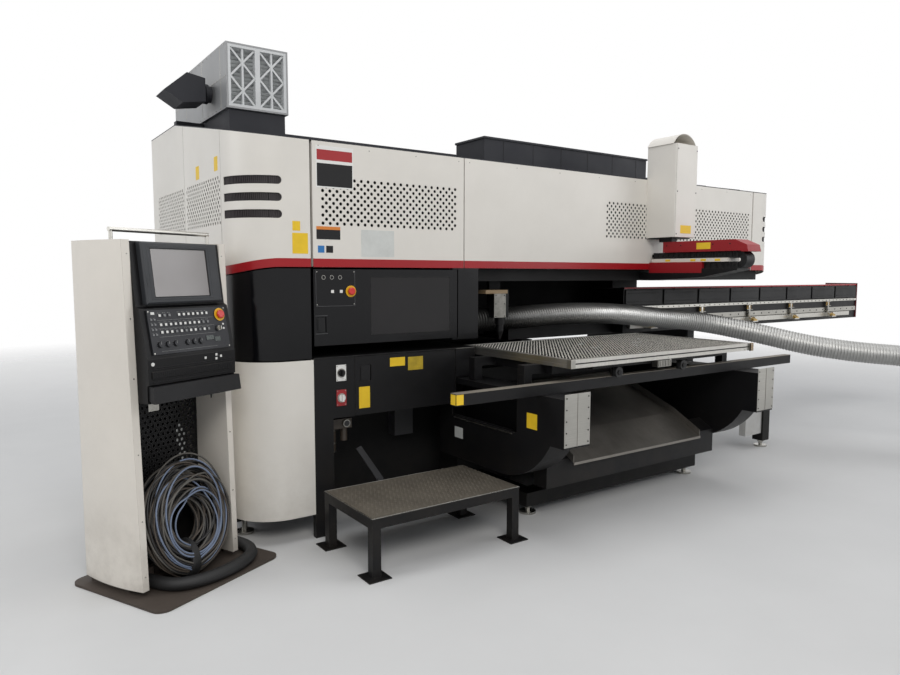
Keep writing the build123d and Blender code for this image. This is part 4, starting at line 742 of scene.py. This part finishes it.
boxes("door_pane", PANE, [(PANE_X, (0.4, 1.6), PANE_Z)], DOOR, 0.4)
outer_x = (PANE_X[0] - PANE_EDGE, PANE_X[1] + PANE_EDGE)
outer_z = (PANE_Z[0] - PANE_EDGE, PANE_Z[1] + PANE_EDGE)
boxes("door_pane_edge", BLACK,
      [(outer_x, (-0.6, 0.8), z) for z in ((outer_z[0], PANE_Z[0]), (PANE_Z[1], outer_z[1]))]
      + [(x, (-0.6, 0.8), outer_z) for x in ((outer_x[0], PANE_X[0]), (PANE_X[1], outer_x[1]))],
      DOOR)
copies("operator_plate_rings", STEEL, ring, [(-2096 + 52 * i, -4.4, 1528) for i in range(3)],
       12, 9.6, 0.8, "Y", 28, body=DOOR)
boxes("operator_plate_edge", BOX_DARK,
      [((-2142, -1899), OPERATOR_FRONT, (1360.5, 1364)),
       ((-2146, -2142.5), OPERATOR_FRONT, (1360.5, 1568)),
       ((-1898.5, -1895), OPERATOR_FRONT, (1360.5, 1568))], DOOR, 0)
copies("estop_yellow_ring", STOP_YELLOW, ring, [(-1925, -8.6, BUTTON_Z)], 33.5, 12, 1.2, "Y",
       40, body=DOOR)
for side, x in (("left", -2043), ("right", -1987)):
    items = []
    for low, high in ((-12, -9.6), (9.6, 12)):
        items += [((x + low, x + high), BUTTON_FRONT, (BUTTON_Z - 12, BUTTON_Z + 12)),
                  ((x - 12, x + 12), BUTTON_FRONT, (BUTTON_Z + low, BUTTON_Z + high))]
    boxes(f"button_frame_{side}", PLASTIC, items, DOOR, 0)
boxes("door_latch_bezel", BOX_DARK,
      [((-2148, -2072), (-1.4, 0.4), z) for z in ((1202, 1206), (1306, 1310))], DOOR, 0.4)
screws("door_screws", [(x, -4, z) for x in (-2138, -1903) for z in (1372, 1560)], "Y", 3.4,
       3, body=DOOR)


# Switch plates and worn ledge on the cabinet front

SWITCH_X = -1992
CABINET_FRONT = (-4.9, -3.9)

for name, z, material in (("disconnect", 968, CREAM_WHITE), ("lockout", 820, SIGN_RED)):
    boxes(name + "_plate", material,
          [((SWITCH_X - 32, SWITCH_X + 32), CABINET_FRONT, (z - 48, z + 48))], bevel=0.4)
    copies(name + "_collar", STEEL, ring, [(SWITCH_X, -6.2, z)], 27, 20.8, 3, "Y", 36, smooth=True)
    screws(name + "_screws", [(SWITCH_X + dx, -4.9, z + dz) for dx in (-26, 26)
                              for dz in (-41, 41)], "Y", 3, 1.6)
boxes("ledge_wear_strip", STEEL, [((-1163, -1013), CABINET_FRONT, (1062.5, 1064))], bevel=0)


# Brush table: pale tufts in rows on the dark deck, and details of the rim

TUFTS_X, TUFTS_Y = (-962, 740), (-858, 108)
TUFT_PITCH, TUFT_ROW = 25, 14
TUFT_FOOT, TUFT_TOP = 1057.5, 1066

bm = bmesh.new()
for row in range(int((TUFTS_Y[1] - TUFTS_Y[0]) / TUFT_ROW)):
    level = TUFTS_Y[0] + (row + 0.5) * TUFT_ROW
    start = TUFTS_X[0] + (TUFT_PITCH / 2 if row % 2 else TUFT_PITCH)
    for i in range(int((TUFTS_X[1] - start) / TUFT_PITCH)):
        cx = start + i * TUFT_PITCH + random.uniform(-1.2, 1.2)
        cy = level + random.uniform(-1.2, 1.2)
        lean = random.uniform(-1.5, 1.5)
        low = [bm.verts.new(((cx + a) * MM, (cy + b) * MM, TUFT_FOOT * MM))
               for a, b in ((-2.5, -2.5), (2.5, -2.5), (2.5, 2.5), (-2.5, 2.5))]
        high = [bm.verts.new(((cx + a + lean) * MM, (cy + b - lean) * MM,
                              (TUFT_TOP + random.uniform(-1.5, 0.8)) * MM))
                for a, b in ((-2.7, -2.7), (2.7, -2.7), (2.7, 2.7), (-2.7, 2.7))]
        bm.faces.new(high)
        join_rows(bm, low, high)
piece("brush_tufts", bm, TUFT)

boxes("brush_channel_lips", STEEL,
      [((x, x + 8), (-858, 110), (1057.2, 1060.5)) for x in range(-960, 745, 121)], bevel=0)
boxes("rim_groove_shadow", RUBBER, [((-998, 776), (-890.5, -889.5), (1036, 1044))], bevel=0)
boxes("rim_corner_block", STEEL, [((-1001.5, -966), (-898, -861), (1014, 1066))], bevel=1.5)
boxes("rim_end_post", BROWN, [((746, 778), (-911, -897), (1013, 1067))], bevel=1.5)
screws("rim_screws", [(x, -911, z) for x in (754, 770) for z in (1024, 1056)]
       + [(-984 + 60 * i, -896.5, 1024) for i in (0, 14, 28)], "Y", 3.2, 1.4)

# Ribbed silver actuator block under the rim
boxes("table_actuator_block", STEEL,
      [((-234, -104), (-890, -840), (966, 1012), 2)]
      + [((-228 + 15.5 * i, -220 + 15.5 * i), (-896, -889), (970, 1008)) for i in range(8)],
      bevel=1)

# White scraps left lying on the tufts
SCRAP_LEVEL, SCRAP_WIDTH, SCRAP_THICKNESS = 1068.5, 12, 2
bm = bmesh.new()
for cx, cy, turned, length in ((-320, -300, 0.4, 60), (-60, -560, 1.1, 46),
                               (120, -420, -0.5, 70), (-420, -520, 2, 40),
                               (330, -260, 0.9, 50)):
    matrix = (Matrix.Translation((cx * MM, cy * MM, SCRAP_LEVEL * MM))
              @ Matrix.Rotation(turned, 4, "Z")
              @ Matrix.Diagonal((length * MM, SCRAP_WIDTH * MM, SCRAP_THICKNESS * MM, 1)))
    bmesh.ops.create_cube(bm, size=1, matrix=matrix)
piece("sheet_scraps", bm, PALE)


# Bumper bar, chute and wings

BUMPER_Z = (872, 926)

boxes("bumper_wear_top", finish("bumper_worn_top", (118, 112, 102), 0.5, 0.2, 0.2, 3, 0.1,
                                scratches=0.6, edge=1),
      [((-1740, 1440), (-816.2, -764), (928, 931.5))], bevel=1)
boxes("bumper_end_plates", YELLOW,
      [((-1741.2, -1740), (-811, -769), BUMPER_Z), ((-1738, -1692), (-816, -815), BUMPER_Z),
       ((1440, 1441.2), (-811, -769), BUMPER_Z)])
screws("wing_plate_screws", [(x, -1003, 618 + 64 * i) for x in (-1134, -966, 714, 882)
                             for i in range(5)], "Y", 4, 2.4, FRAME)
boxes("wing_plate_folds", CHUTE,
      [((x, x + 2), (-1004.4, -1003), (597, 895)) for x in (-1051, 797)], bevel=0)
boxes("wing_ledge_line", STEEL, [((-1150, -1147), (-560, 40), (596, 604))], bevel=0.6)


# Step: chequer tread on the black frame

TREAD_TOP = 316

bm = bmesh.new()
box(bm, (-2163, -1194), (-684, -122), (314, TREAD_TOP), 0.6)
for row in range(23):
    for column in range(40):
        centre = Vector((-2148 + 24 * column + (12 if row % 2 else 0), -668 + 23.5 * row,
                         TREAD_TOP))
        slant = radians(45 if (row + column) % 2 else -45)
        a = Vector((cos(slant), sin(slant), 0)) * 8.5
        b = Vector((-sin(slant), cos(slant), 0)) * 3.2
        low = [bm.verts.new((centre + offset) * MM) for offset in (a, b, -a, -b)]
        top = [bm.verts.new((centre + offset * 0.45 + Vector((0, 0, 1.8))) * MM)
               for offset in (a, b, -a, -b)]
        bm.faces.new(top)
        join_rows(bm, low, top)
piece("step_tread", bm, TREAD)
boxes("step_worn_edges", STEEL,
      [((-2164, -1193), y, (312, 318)) for y in ((-685, -680), (-126, -121))]
      + [(x, (-684, -122), (312, 318)) for x in ((-2164, -2159), (-1198, -1193))], bevel=0.8)


# Plain plates in the places of printed ones

ON_PLATE = (-1.2, -0.6)
ON_WING = (-1147, -1145.8)
ON_SIDE = (-2581, -2579.8)
SIGN_X, NOTICE_X, PICTOGRAM_Z = (-2126, -1904), (-2134, -1985), (1669, 1709)

for name, material, items, *body in (
        ("cabinet_yellow_plates", YELLOW,
         [((-1874, -1800), ON_COVER, (742, 872)), ((-1659, -1551), ON_COVER, (980, 1034))],
         "cabinet_door"),
        ("cabinet_ochre_plate", finish("ochre_plate", (176, 150, 34), 0.55, mottle=0.2,
                                       mottle_scale=20, edge=0.3),
         [((-1529, -1418), ON_COVER, (947, 1031))], "cabinet_door"),
        ("cover_white_plate", CREAM_WHITE,
         [((-2132, -1898), ON_COVER, (2036, 2270))]),
        ("cover_worn_plate", PALE, [((-1849, -1625), ON_COVER, (1650, 1808))]),
        ("cover_red_band", SIGN_RED, [(SIGN_X, ON_PLATE, (2190, 2248))]),
        ("cover_orange_band", finish("orange_plate", (214, 128, 52), 0.5, edge=0.3),
         [(NOTICE_X, ON_PLATE, (1800, 1818))]),
        ("cover_dark_plates", PLASTIC,
         [(NOTICE_X, ON_COVER, (1745, 1818)), (SIGN_X, ON_PLATE, (2044, 2172)),
          ((-2075, -2032), ON_COVER, PICTOGRAM_Z)]),
        ("cover_blue_plate", finish("blue_plate", (38, 112, 176), 0.5, edge=0.3),
         [((-2126, -2086), ON_COVER, PICTOGRAM_Z)]),
        ("wing_white_plate", PALE, [(ON_WING, (-60, 30), (468, 540))]),
        ("wing_yellow_plate", YELLOW, [(ON_WING, (-779, -691), (660, 750))]),
        ("tower_yellow_plate", YELLOW, [((760, 890), (-276, -274.8), (1864, 1926))]),
        ("tray_yellow_plate", YELLOW, [((739.2, 740.2), (-560, -440), (1736, 1784))]),
        ("side_yellow_plates", YELLOW,
         [(ON_SIDE, (700, 770), (2120, 2200)), (ON_SIDE, (330, 395), (2130, 2210))])):
    boxes(name, material, items, *body)


# Flexible duct with a wound ridge, in place of the plain CAD tube

DUCT_POINTS = [(-980, 346, 1214), (-500, 346, 1214), (60, 342, 1238), (640, 326, 1226),
               (1190, 284, 1172), (1640, 160, 1128), (1930, -200, 1040), (2150, -570, 944),
               (2390, -880, 894), (2640, -1180, 872), (2860, -1440, 800), (3000, -1640, 600),
               (3060, -1790, 330), (3060, -1790, 60)]


def rounded_route(points, step):
    """Points along straight runs joined by tangent arcs."""
    points = [Vector(p) for p in points]
    line = [points[0]]
    for before, corner, after in zip(points, points[1:], points[2:]):
        first = (corner - before).normalized()
        second = (after - corner).normalized()
        reach = 0.45 * min((corner - before).length, (after - corner).length)
        half = first.angle(second) / 2
        radius = reach / tan(half)
        side = (second - first * first.dot(second)).normalized()
        start = corner - first * reach
        count = max(2, int(2 * half * radius / step))
        for i in range(count + 1):
            turned = 2 * half * i / count
            line.append(start + first * (radius * sin(turned))
                        + side * (radius * (1 - cos(turned))))
    line.append(points[-1])
    return line


def wound_tube(bm, line, radius, depth, pitch, around):
    """Tube with a helical ridge."""
    lengths = [0]
    for a, b in zip(line, line[1:]):
        lengths.append(lengths[-1] + (b - a).length)
    tangents = [(b - a).normalized() for a, b in zip(line, line[1:])]
    normals = [tangents[0].orthogonal().normalized()]
    for a, b in zip(tangents, tangents[1:]):
        normals.append(a.rotation_difference(b) @ normals[-1])
    rows = []
    steps = int(lengths[-1] / pitch) * around
    for level, share in ((radius - depth, 0), (radius - depth, 0.22), (radius, 0.42),
                         (radius, 0.8)):
        row = []
        segment = 0
        for k in range(steps + 1):
            distance = min(lengths[-1] - 0.01, pitch * (k / around + share))
            while lengths[segment + 1] < distance:
                segment += 1
            place = line[segment] + tangents[segment] * (distance - lengths[segment])
            angle = tau * k / around
            side = normals[segment]
            other = tangents[segment].cross(side)
            offset = (side * cos(angle) + other * sin(angle)) * level
            row.append(bm.verts.new((place + offset) * MM))
        rows.append(row)
    for k in range(steps):
        for m in range(3):
            bm.faces.new((rows[m][k], rows[m][k + 1], rows[m + 1][k + 1], rows[m + 1][k]))
        if k + 1 + around <= steps:
            bm.faces.new((rows[3][k], rows[3][k + 1], rows[0][k + 1 + around],
                          rows[0][k + around]))


bm = bmesh.new()
wound_tube(bm, rounded_route(DUCT_POINTS, 30), 86, 4, 24, 32)
ring(bm, (-968, 346, 1214), 100, 85, 24, "X", 48)
ring(bm, (3060, -1790, 45), 95.5, 85, 90, "Z", 48)
ring(bm, (3060, -1790, 70), 98, 95, 8, "Z", 48)
piece("duct_wound", bm, ZINC, slot="galvanised", replaces=["flexible_duct"], smooth=True, angle=30)


# Sheet carriage: rails, covers, springs and clamps

CARRIAGE = "sheet_carriage"
CLAMPS = [1300 + 800 * i for i in range(5)]

boxes("carriage_rail_strip", ALUMINIUM, [((1002, 5198), (465, 480), (1237, 1263))], CARRIAGE, 1)
boxes("carriage_scale_strip", STEEL, [((1002, 5198), (471, 480), (1117, 1167))], CARRIAGE, 1)
boxes("carriage_red_edge", RED, [((1000, 5200), (473, 521), (1419.5, 1433))], CARRIAGE, 1.5)
boxes("carriage_end_plate", finish("dark_red_coat", (92, 26, 30), 0.42, scratches=0.3),
      [((5199.5, 5214.3), (466, 850), (1028, 1445))], CARRIAGE, 2)
screws("carriage_rail_screws", [(1040 + 80 * i, 465, 1250) for i in range(52)], "Y", 5.5, 2,
       FRAME, CARRIAGE)
screws("carriage_scale_screws", [(1060 + 140 * i, 471, 1142) for i in range(30)], "Y", 7,
       2, FRAME, CARRIAGE)
items = []
for x in range(1018, 4694, 525):
    items += [((x, x + 495), (468, 480), (1274, 1410), 4),
              ((x + 30, x + 465), (464, 469), (1300, 1306)),
              ((x + 30, x + 465), (464, 469), (1376, 1382))]
boxes("carriage_cover_pads", PLASTIC, items, CARRIAGE, 1)


def spring(bm, centre, radius, wire, length, turns):
    """Small coil spring standing upright."""
    steps = turns * 12
    rings = []
    for i in range(steps + 1):
        angle = tau * i / 12
        out = Vector((cos(angle), sin(angle), 0))
        middle = Vector(centre) + out * radius + Vector((0, 0, length * (i / steps - 0.5)))
        rings.append([bm.verts.new((middle + (out * cos(a) + Vector((0, 0, sin(a))))
                                    * wire) * MM)
                      for a in (0, pi / 2, pi, 3 * pi / 2)])
    for a, b in zip(rings, rings[1:]):
        join_rows(bm, a, b)


copies("clamp_springs", finish("yellow_spring_wire", (214, 168, 40), 0.4, mottle=0.1, edge=0.3),
       spring, [(x + side, 457, 1212) for x in CLAMPS for side in (-24, 24)], 8, 1.8, 44, 6,
       body=CARRIAGE)
bm = bmesh.new()
for x in CLAMPS:
    for z in ((1184, 1190), (1234, 1240)):
        box(bm, (x - 50, x + 50), (440, 470), z, 1.5)
    box(bm, (x - 14, x + 14), (446, 470), (1112, 1234), 2)
    for side in (-24, 24):
        rod(bm, (x + side, 457, 1212), 3.4, 58, "Z", 10)
piece("clamp_cylinders", bm, STEEL, CARRIAGE, smooth=True)


# Cutting head: worn front plate and the block on top

HEAD = "cutting_head"
HEAD_PLATE = finish("worn_head_plate", (150, 148, 142), 0.5, 0.4, 0.35, 14, 0.2, 200,
                    scratches=0.8, edge=1, dirt=(0.9, (40, 38, 36)), dirt_height=3)
boxes("head_front_plate", HEAD_PLATE,
      [((-722, -616), (150, 154), (1240, 1430), 1.5),
       ((-712, -680), (148.6, 150), (1262, 1300), 0.5)], HEAD)
boxes("head_top_block", BROWN, [((-800, -601), (148.5, 242), (1410, 1437), 3),
                                ((-760, -715), (147.5, 150), (1414, 1433), 1)], HEAD)
screws("head_screws", [(x, 150, z) for x in (-708, -630) for z in (1250, 1338, 1398)], "Y",
       4, 2, FRAME, HEAD)


# Tower, tray and chain

LINK_FACE = (768.6, 769.8)

boxes("chain_link_pads", FRAME,
      [(LINK_FACE, (y + 14, y + 34), (1682, 1706)) for y in range(-812, -30, 48)]
      + [(LINK_FACE, (y + 14, y + 34), (1606, 1630)) for y in range(-812, -500, 48)], bevel=0.4)
screws("tower_screws", [(x, -275, z) for x in (712, 938) for z in (1858, 2180, 2500)], "Y",
       4.5, 2, FRAME)
screws("tray_screws", [(740, y, 1770) for y in (-720, -580, -300, -170)], "X", 5, 2, FRAME)
boxes("tray_liner_marks", YELLOW,
      [((746.8, 748.2), (y, y + 46), (1648, 1664)) for y in (-640, -520, -430, -200)])


# Roof: filter housing seams, dark base, duct box seams, cover screws

skirt = [(702, 2435), (1235, 2534), (1235, 2567), (702, 2567)]
assemble("filter_base_skirt", ROOF,
         [(prism, skirt, "X", x) for x in ((-2386, -2383), (-2028, -2025))]
         + [(box, (-2386, -2025), (701, 704), (2433, 2567))])
assemble("filter_housing_seams", STEEL,
         [(box, (-2405.2, -2404), (y, y + 3), (2570, 2961)) for y in (800, 1200, 1600)]
         + [(box, (-2405.4, -2404), (690, 1900), (2759, 2762))]
         + [(rod, (-2405, y, z), 4, 2.4, "X", 10) for y in range(720, 1900, 90)
            for z in (2950, 2580)])
boxes("duct_box_seams", FRAME,
      [((x, x + 3), (482.8, 484), (2390, 2552)) for x in range(-380, 1260, 300)], bevel=0)
points = []
for (x0, x1), count in zip(FRONT_SPANS, (4, 6, 4)):
    points += [(x0 + 40 + (x1 - x0 - 80) * i / (count - 1), 0, 2268) for i in range(count)]
screws("cover_screws", points, "Y", 3.6, 1.6)
screws("side_screws", [(SIDE_X, y, z) for y0, y1 in SIDE_SPANS
                       for y in (y0 + 30, (y0 + y1) / 2, y1 - 30) for z in (1560, 160, 1040)],
       "X", 3.6, 1.6)


# Under the cabinet: regulator, box and strut

GAUGE_X, GAUGE_Z = -1905, 637

assemble("regulator_bands", STEEL,
         [(ring, (-1995, 150, z), 35.5, 31, 10, "Z", 32) for z in (598, 520, 470)]
         + [(ring, (GAUGE_X, 104.5, GAUGE_Z), 23, 18, 3, "Y", 28)], smooth=True)
copies("gauge_face", BOX_DARK, rod, [(GAUGE_X, 103.6, GAUGE_Z)], 18.4, 1.6, "Y", 28)
boxes("terminal_box_cover", BOX_GREY,
      [((1793, 2037), (-246, -243.5), (128, 352)), ((1793, 2037), (-246, -184), (350, 352.5)),
       ((1792, 1795), (-246, -184), (128, 352))], bevel=1)
assemble("cabinet_strut", BOX_DARK,
         [(prism, [(-1846, 470), (-1812, 484), (-1660, 262), (-1690, 236)], "Y", (96, 108)),
          (prism, [(-1700, 262), (-1660, 262), (-1660, 180), (-1700, 180)], "Y", (90, 112))])


# Console: screen, keys, knobs, display, back sheet

def face_matrix(x, y, z, slope):
    """Place on a sloping face of the console: X across, Y up the face, Z out of it."""
    length = hypot(1, slope)
    columns = (Vector((1, 0, 0)), Vector((0, slope, 1)) / length, Vector((0, -1, slope)) / length)
    local = Matrix(columns).transposed().to_4x4()
    local.translation = Vector((x, y, z)) * MM
    return CONSOLE @ local


MONITOR = face_matrix(300, 40.07, 1548, 40 / 305)
KEYS = face_matrix(300, -22.6, 1272, 0.2)
INNER_FRAME = (31, 35.5)
RAISED_FRAME = (35.8, 36.6)

boxes("screen_pane", SCREEN, [((-180, 150), (-116, 116), (31, 32.4))], bevel=0.5, matrix=MONITOR)
boxes("screen_inner_frame", PLASTIC,
      [((-182, 152), y, INNER_FRAME) for y in ((-118, -114), (114, 118))]
      + [(x, (-118, 118), INNER_FRAME) for x in ((-182, -178), (148, 152))], bevel=0.8,
      matrix=MONITOR)
boxes("monitor_raised_frame", GREY,
      [((-196, 166), (y, y + 4), RAISED_FRAME) for y in (-128, 124)]
      + [((x, x + 4), (-128, 128), RAISED_FRAME) for x in (-200, 166)]
      + [((-216, -206), (-60, -20), (35.8, 38), 1)], bevel=0.4, matrix=MONITOR)

PRINT = (9.9, 10.15)
KNOBS = (-190, -145, -100, -30, 10, 50)
KNOB_Y = -60
EMPTY_PLACE = (0, 3)
GREY_KEYS = {(0, 1), (0, 2), (1, 9), (1, 10), (2, 3), (2, 5), (2, 8), (2, 10)}
white_caps, grey_caps, legends = bmesh.new(), bmesh.new(), bmesh.new()
for row, y in enumerate((78, 34, -2)):
    for column in range(11):
        if (row, column) == EMPTY_PLACE:
            continue
        x = -170 + 28 * column
        caps = grey_caps if (row, column) in GREY_KEYS else white_caps
        box(caps, (x - 6.2, x + 6.2), (y - 6.2, y + 6.2), (12.8, 15.2), 1)
        for offset, width in ((-5, 7), (4, 4)):
            box(legends, (x + offset - width / 2, x + offset + width / 2), (y + 12, y + 13.6),
                PRINT)
for y in (60, 36, 12, -12):
    for x in (-218, -200):
        box(grey_caps, (x - 5, x + 5), (y - 4, y + 4), (11.8, 13.2), 0.6)
        box(legends, (x - 5, x + 3), (y + 7, y + 8.2), PRINT)
box(white_caps, (-216, -196), (84, 96), (9.9, 12.4), 0.8)
for x in KNOBS:
    box(legends, (x - 0.9, x + 0.9), (KNOB_Y, KNOB_Y + 12), (19.9, 20.4))
    for step in range(9):
        angle = radians(-30 + 30 * step)
        cx, cy = x + 18 * cos(angle), KNOB_Y + 18 * sin(angle)
        box(legends, (cx - 0.8, cx + 0.8), (cy - 0.8, cy + 0.8), PRINT)
for y in (-92, -24, 16, 56):
    box(legends, (-186, 150), (y - 0.4, y + 0.4), (9.9, 10.1))
piece("key_caps_white", white_caps, KEY_WHITE, matrix=KEYS)
piece("key_caps_grey", grey_caps, finish("grey_key_cap", (120, 121, 122), mottle=0.05,
                                         edge=0.6), matrix=KEYS)
piece("key_legends", legends, finish("pale_print", (150, 150, 148), 0.5, mottle=0.1,
                                     mottle_scale=40, edge=0.1), matrix=KEYS)
copies("knob_skirts", PLASTIC, ring, [(x, KNOB_Y, 11.4) for x in KNOBS], 15.6, 13.1, 2.8, "Z",
       24, matrix=KEYS, smooth=True)
boxes("small_display", finish("display_glass", (24, 40, 34), 0.2, mottle=0.2, mottle_scale=30,
                              edge=0.2),
      [((86, 134), (-59, -37), (12, 12.8), 0.2), ((140, 176), (-70, -46), (9.9, 12), 0.5)],
      matrix=KEYS)
copies("console_estop_ring", STOP_YELLOW, ring, [(192, 66, 14.4)], 33, 12, 1, "Z", 40, matrix=KEYS)
copies("panel_lamps", CREAM_WHITE, rod, [(208, y, 11.6) for y in (16, -6)], 5, 3.4, "Z", 18,
       matrix=KEYS, smooth=True)
copies("panel_screws", STEEL, rod, [(x, y, 10.6) for x in (-228, 228) for y in (-99, 99)],
       3.2, 1.6, "Z", 12, matrix=KEYS, smooth=True)

# Ports, lock and ridges on the lip under the keys
LIP_FACE = -49.8
assemble("lip_ports", KEY_WHITE,
         [(box, (x - 6, x + 6), (-52.4, LIP_FACE), (z - 6, z + 6), 0.6)
          for x, z in ((370, 1128), (440, 1138), (440, 1118), (470, 1128))]
         + [(rod, (60, -51, 1128), 9, 3, "Y", 20)], matrix=CONSOLE)
boxes("lip_ridges", PLASTIC,
      [((60, 540), (-53, LIP_FACE), (z, z + 4), 1) for z in (1040, 1052, 1100, 1108)]
      + [((x, x + 5), (-57.6, -55.8), (1064, 1088)) for x in range(64, 540, 12)], bevel=0.6,
      matrix=CONSOLE)
boxes("console_small_plate", STEEL, [((36, 92), (-43, -40), (908, 944))], bevel=0.6,
      matrix=CONSOLE)

# Perforated sheet across the bay, with painted highlights on the rims of its holes, pale discs of
# painted light seen through it, a hook
BAY_Y = 253
bay_holes = staggered((58, 546), (320, 916), 30, 26, 8.5)
bm = bmesh.new()
add_holed_sheet(bm, [(34, 42), (566, 42), (566, 941), (34, 941)], bay_holes, 2,
                Matrix.Translation((0, BAY_Y * MM, 0)) @ FRONT)
piece("bay_sheet", bm, BLACK, matrix=CONSOLE)
# Lighter rings round the holes: painted highlights on their rims
copies("bay_hole_rim_highlights", BOX_DARK, ring, [(x, BAY_Y - 0.4, z) for x, z, radius in bay_holes],
       10.1, 8.6, 0.9, "Y", 14, matrix=CONSOLE)
# Pale discs behind a band of holes: painted light shining through the sheet
copies("bay_painted_light_discs", PALE, rod,
       [(x, BAY_Y + 5, z) for x, z, radius in bay_holes
        if abs(x - 461 + 0.09 * (z - 600)) < 26 and 500 < z < 740], 9, 1, "Y", 14,
       matrix=CONSOLE)
assemble("bay_hook", RUBBER,
         [(rod, centre, 3.2, length, axis, 14) for centre, length, axis in
          (((563, 205, 905), 7, "X"), ((556, 165, 905), 80, "Y"), ((556, 125, 893), 26, "Z"))],
         matrix=CONSOLE, smooth=True)
copies("cheek_screws", STEEL, rod,
       [(x, 50 * (z - 40) / 1665 - 0.8, z) for z in (1640, 1340, 1060, 700, 380, 110)
        for x in (17, 583)], 3.4, 2, "Y", 12, matrix=CONSOLE, smooth=True)


# Rear, roof and console back: seams, screws and plain vents

REAR_FACE = (1919.4, 1920.4)

boxes("rear_seams", BOX_DARK,
      [((x, x + 4), REAR_FACE, (1560, 2500)) for x in (-1400, -300, 800, 1700)]
      + [((-1400, -1396), REAR_FACE, (160, 1070))], bevel=0.4)
screws("rear_screws", [(x, 1920.6, z) for x in range(-2520, 2560, 280) for z in (1580, 2480)],
       "Y", 4.5, 1.6)
boxes("rear_louvres", BOX_DARK,
      [((x, x + 420), REAR_FACE, (z, z + 10)) for x in (-1250, 950)
       for z in range(1720, 2084, 26)])
seam = [(y, EAVES + ROOF_RISE * y + height)
        for y, height in ((40, 9), (1200, 9), (1200, 3), (40, 3))]
assemble("roof_seams", ROOF, [(prism, seam, "X", (x, x + 12)) for x in (-1500, -900, 1500, 2000)])
assemble("console_back_vents", BOX_DARK,
         [(box, (170, 430), (399.5, 402.5), (z, z + 10), 0.6) for z in range(1300, 1588, 24)]
         + [(rod, (x, 401, z), 4, 2.4, "Y", 12) for x in (60, 540) for z in (1010, 1350, 1660)],
         matrix=CONSOLE)


# Floor, background and studio light

FLOOR_HALF = 60
FADE = (5.5, 14)
floor_data = bpy.data.meshes.new("floor")
floor_data.from_pydata([(x * FLOOR_HALF, y * FLOOR_HALF, 0)
                        for x, y in ((-1, -1), (1, -1), (1, 1), (-1, 1))], [], [(0, 1, 2, 3)])
floor = add_object("floor", floor_data)
n = surface("studio_floor")
n.link(n.blend(n.span(n.noise(0.8, 5), 0.3, 0.7), rgb(214, 214, 213), rgb(221, 221, 220)),
       n.shader.inputs["Base Color"])
n.shader.inputs["Roughness"].default_value = 0.75
n.shader.inputs["Specular IOR Level"].default_value = 0.2
reach = n.add("ShaderNodeVectorMath", operation="LENGTH")
n.link(n.place, reach.inputs[0])
fade = n.add("ShaderNodeMixShader")
n.link(n.span(reach.outputs["Value"], *FADE), fade.inputs[0])
n.link(n.shader.outputs[0], fade.inputs[1])
n.link(n.add("ShaderNodeBsdfTransparent").outputs[0], fade.inputs[2])
n.link(fade.outputs[0], n.tree.nodes["Material Output"].inputs["Surface"])
floor.data.materials.append(n.material)

# Dim light from all round, and plain white wherever the camera or a reflection looks past
world = bpy.data.worlds.new("studio")
bpy.context.scene.world = world
n = Nodes(world)
n.tree.nodes.clear()
light_path = n.add("ShaderNodeLightPath")
seen = light_path.outputs["Is Camera Ray"]
for kind in ("Is Glossy Ray", "Is Transmission Ray"):
    seen = n.pair("ShaderNodeMath", seen, light_path.outputs[kind], operation="MAXIMUM").outputs[0]
mixed = n.add("ShaderNodeMixShader")
n.link(seen, mixed.inputs[0])
for index, (colour, strength) in enumerate(((rgb(226, 230, 238), 0.36), ((1, 1, 1, 1), 1))):
    background = n.add("ShaderNodeBackground", Color=colour, Strength=strength)
    n.link(background.outputs[0], mixed.inputs[1 + index])
n.link(mixed.outputs[0], n.add("ShaderNodeOutputWorld").inputs["Surface"])


def lamp(name, place, target, size, power, colour=(1, 1, 1)):
    """Soft rectangular studio lamp aimed at a point."""
    data = bpy.data.lights.new(name, "AREA")
    data.shape = "RECTANGLE"
    data.size, data.size_y = size
    data.energy = power
    data.color = colour
    item = add_object(name, data)
    item.location = place
    item.rotation_euler = (Vector(target) - Vector(place)).to_track_quat("-Z", "Y").to_euler()


lamp("key", (-4.5, -7.5, 6.5), (0, 0, 1.1), (5, 3), 330, (1, 0.98, 0.95))
lamp("fill", (7.5, -6.5, 4), (1.5, 0, 1), (5, 4), 180, (0.97, 0.98, 1))
lamp("left", (-9, 1.5, 4.5), (-1.5, 0.5, 1.2), (4, 4), 160, (0.98, 0.99, 1))
lamp("back", (1, 9, 5.5), (0, 0.5, 1.5), (7, 3), 200)
lamp("top", (0.5, -0.5, 8), (0.5, 0, 1), (8, 5), 200)

bpy.context.scene.view_settings.view_transform = "Standard"
